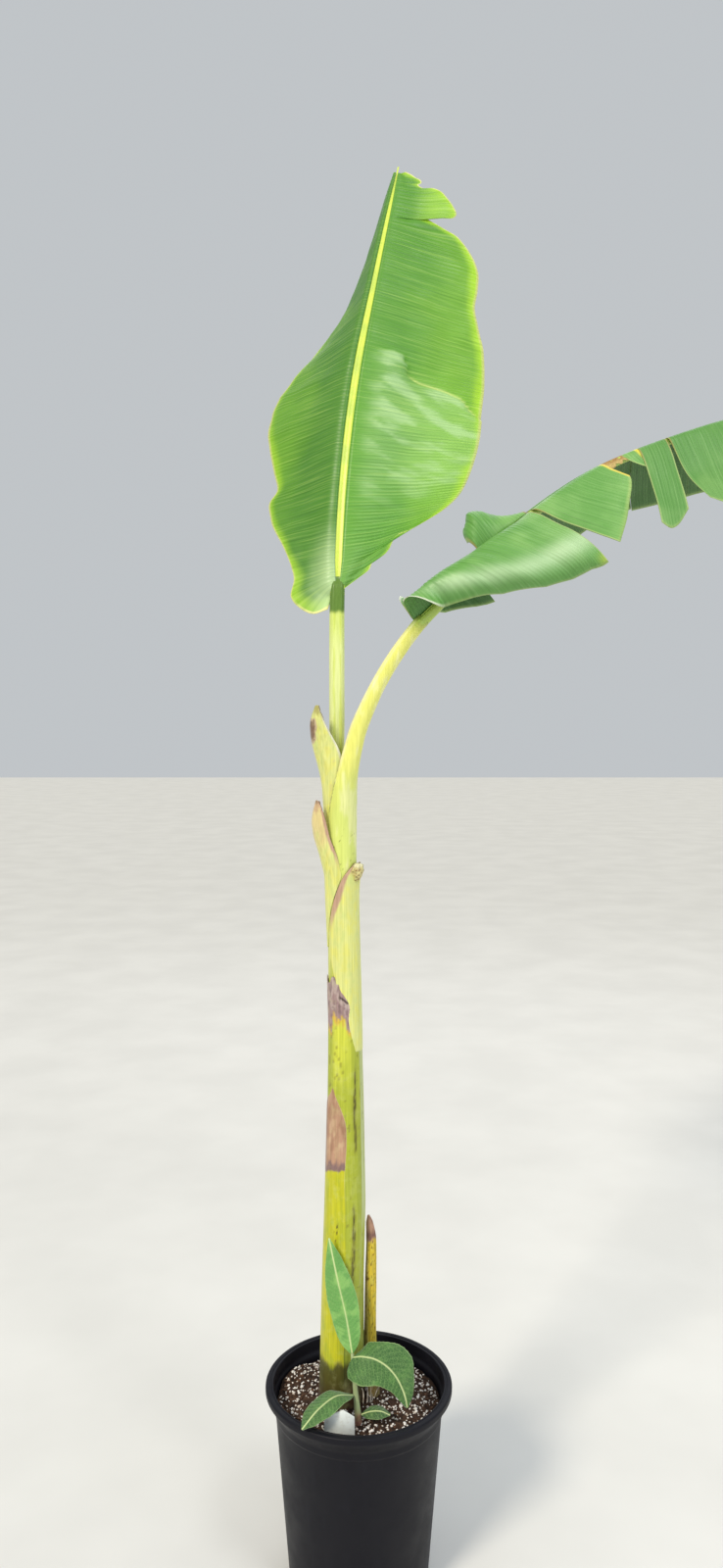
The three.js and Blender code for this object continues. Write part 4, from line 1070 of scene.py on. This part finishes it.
shares, spread = np.linspace(0, 1, SMALL_STEPS + 1), np.linspace(-1, 1, SMALL_SIDES + 1)
for name, (middle, behind, before, across, droop, greens) in SHOOT_LEAVES.items():
    centre = through(middle, shares)
    ahead = unit(np.gradient(centre, axis=0))
    side = unit(np.array(across) - ahead * (ahead @ across)[:, None])
    upper = np.cross(side, ahead)
    half = [through([[100 * step, width, 0] for step, width in enumerate(widths)], shares)[:, 1]
            for widths in (behind, before)]
    length = np.linalg.norm(np.diff(centre, axis=0), axis=1).sum()
    teeth = 1 + 0.03 * (shares * length / TOOTH_PITCH % 1) * ramp(shares, 0.05, 0.2)
    out = np.where(spread < 0, half[0][:, None], half[1][:, None]) * teeth[:, None] * spread
    # The broad leaf's base runs back beyond its midrib in a round lobe that hangs at the front.
    lobed = np.where(spread > 0, 1 - ramp(shares, 0, 0.55)[:, None], 0) * (name == "shoot_leaf_broad")
    fold = np.radians(droop + LOBE_DROOP * lobed)
    lobe = LOBE * lobed * np.sin(2 * spread)
    # The midrib lies in a groove, side veins leave it, and the blade swells between them.
    vein = np.sin(2 * math.pi * (shares[:, None] * length - 0.7 * abs(out)) / SIDE_VEIN_PITCH)
    swell = 0.35 * vein * ramp(abs(out), 2, 9) * ramp(abs(spread), 1, 0.75)
    rise = swell - 1.3 * np.exp(-(out / 2.2) ** 2)
    wave = ripple(centre[:, None] + side[:, None] * out[..., None], 24, 2) * 2.0 * abs(spread) ** 2
    height = rise + wave - abs(out) * np.sin(fold) + SHOOT_LIFT
    face = (centre[:, None] - ahead[:, None] * lobe[..., None]
            + side[:, None] * (out * np.cos(fold))[..., None] + upper[:, None] * height[..., None])
    back = face - upper[:, None] * (0.5 + 1.4 * np.exp(-(out / 2.5) ** 2))[..., None]
    rings = two_faces(face, back)
    paint = painted(
        rings, greens[0],
        (greens[1], ramp(ripple(rings, 20), -0.1, 0.6) * 0.6),
        ("#88b562", ramp(two_faces(vein), -0.7, -1) * 0.22),
        ("#cfdc9c", ramp(abs(two_faces(out)), 1.8, 0.8) * 0.9),
        ("#9fbd7c", ramp(abs(two_faces(spread[None])), 0.95, 1) * 0.7))
    new_piece(name + "_piece", rings, soft_leaf, [name], paint, True)


# Plant label: a blank tag cut from white styrene sheet, with a blunt point, pushed into the soil.
# Its edges are softened a little by the cutter.
LABEL_X, LABEL_Y = -34, -125
LABEL_WIDTH, LABEL_HEIGHT, LABEL_SHOULDER = 54, 52, 39
LABEL_THICK = 2

# White styrene: smooth and slightly shiny, clouded with dried splashes of soil that dull it.
label_sheet, shader, _, cloud = clouded(
    "white styrene sheet", {"Roughness": 0.4, "IOR": 1.55}, {"Scale": 120, "Detail": 6, "Roughness": 0.7},
    (0.5, 0.78, 0.55), ("#dfe6e2", "#a8a08c"), (0.2, 0.0004))
gloss = add_node(label_sheet, "MapRange", {"Value": cloud, 1: 0.3, 2: 0.7, 3: 0.34, 4: 0.55})
wire(shader, {"Roughness": gloss})

half = LABEL_WIDTH / 2
outline = rounded([(-half, 0, 0), (half, 0, 2), (half, LABEL_SHOULDER, 3), (half / 4, LABEL_HEIGHT, 3),
                   (-half, LABEL_SHOULDER, 3), (-half, 1, 0)], 5)
flat = np.array([[point[0] + LABEL_X, LABEL_Y, point[1] + MIX_LEVEL] for point in outline])
middle = flat.mean(axis=0)
rings = np.array([middle + (flat - middle) * shrink + [0, LABEL_THICK * share, 0]
                  for shrink, share in ((0.985, -0.5), (1, -0.3), (1, 0.3), (0.985, 0.5))])
new_piece("blank_label", rings, label_sheet, ["plant_label"])


# Studio: a pale painted floor, one broad warm light high at the front left, and soft fill from the
# other sides and from a pale surround.
FLOOR_REACH = 30
# Lamps: name, kind, power, size, place in metres and colour. All point at the middle of the plant.
LAMPS = [
    ("key", "SUN", 2.1, math.radians(14), (-2.3, -3.1, 4.6), "#fff4e2"),
    ("sheen", "AREA", 36, 1.0, (1.55, -2.3, 4.8), "#ffffff"),
    ("fill", "AREA", 46, 3.5, (3.6, -2.6, 2.6), "#eef3ff"),
    ("back", "AREA", 50, 4.0, (0.8, 3.6, 5.0), "#f6f8ff"),
]
LAMP_AIM = (0.15, 0, 1.4)

# Floor paint: pale, nearly even and fully matt, so that only shadows show on it.
floor_paint, *_ = clouded("matt floor paint", {"Roughness": 0.9, "Specular IOR Level": 0.2},
                          {"Scale": 2.5, "Detail": 3}, (0.35, 0.65, 1), ("#dcdcd8", "#e2e2de"))
mesh = bpy.data.meshes.new("floor")
mesh.from_pydata([(x * FLOOR_REACH, y * FLOOR_REACH, 0) for x, y in ((-1, -1), (1, -1), (1, 1), (-1, 1))],
                 [], [(0, 1, 2, 3)])
mesh.materials.append(floor_paint)
floor = bpy.data.objects.new("floor", mesh)
bpy.context.scene.collection.objects.link(floor)

for name, kind, power, size, spot, colour in LAMPS:
    lamp = bpy.data.objects.new(name, bpy.data.lights.new(name, kind))
    lamp.data.energy = power
    setattr(lamp.data, "angle" if kind == "SUN" else "size", size)
    lamp.data.color = linear(colour)[:3]
    lamp.location = spot
    lamp.rotation_euler = (Vector(LAMP_AIM) - Vector(spot)).to_track_quat("-Z", "Y").to_euler()
    bpy.context.scene.collection.objects.link(lamp)

world = bpy.data.worlds.new("studio")
world.use_nodes = True
wire(world.node_tree.nodes["Background"], {"Color": linear("#e9eef2"), "Strength": 0.65})
bpy.context.scene.world = world
bpy.context.scene.view_settings.view_transform = "Standard"
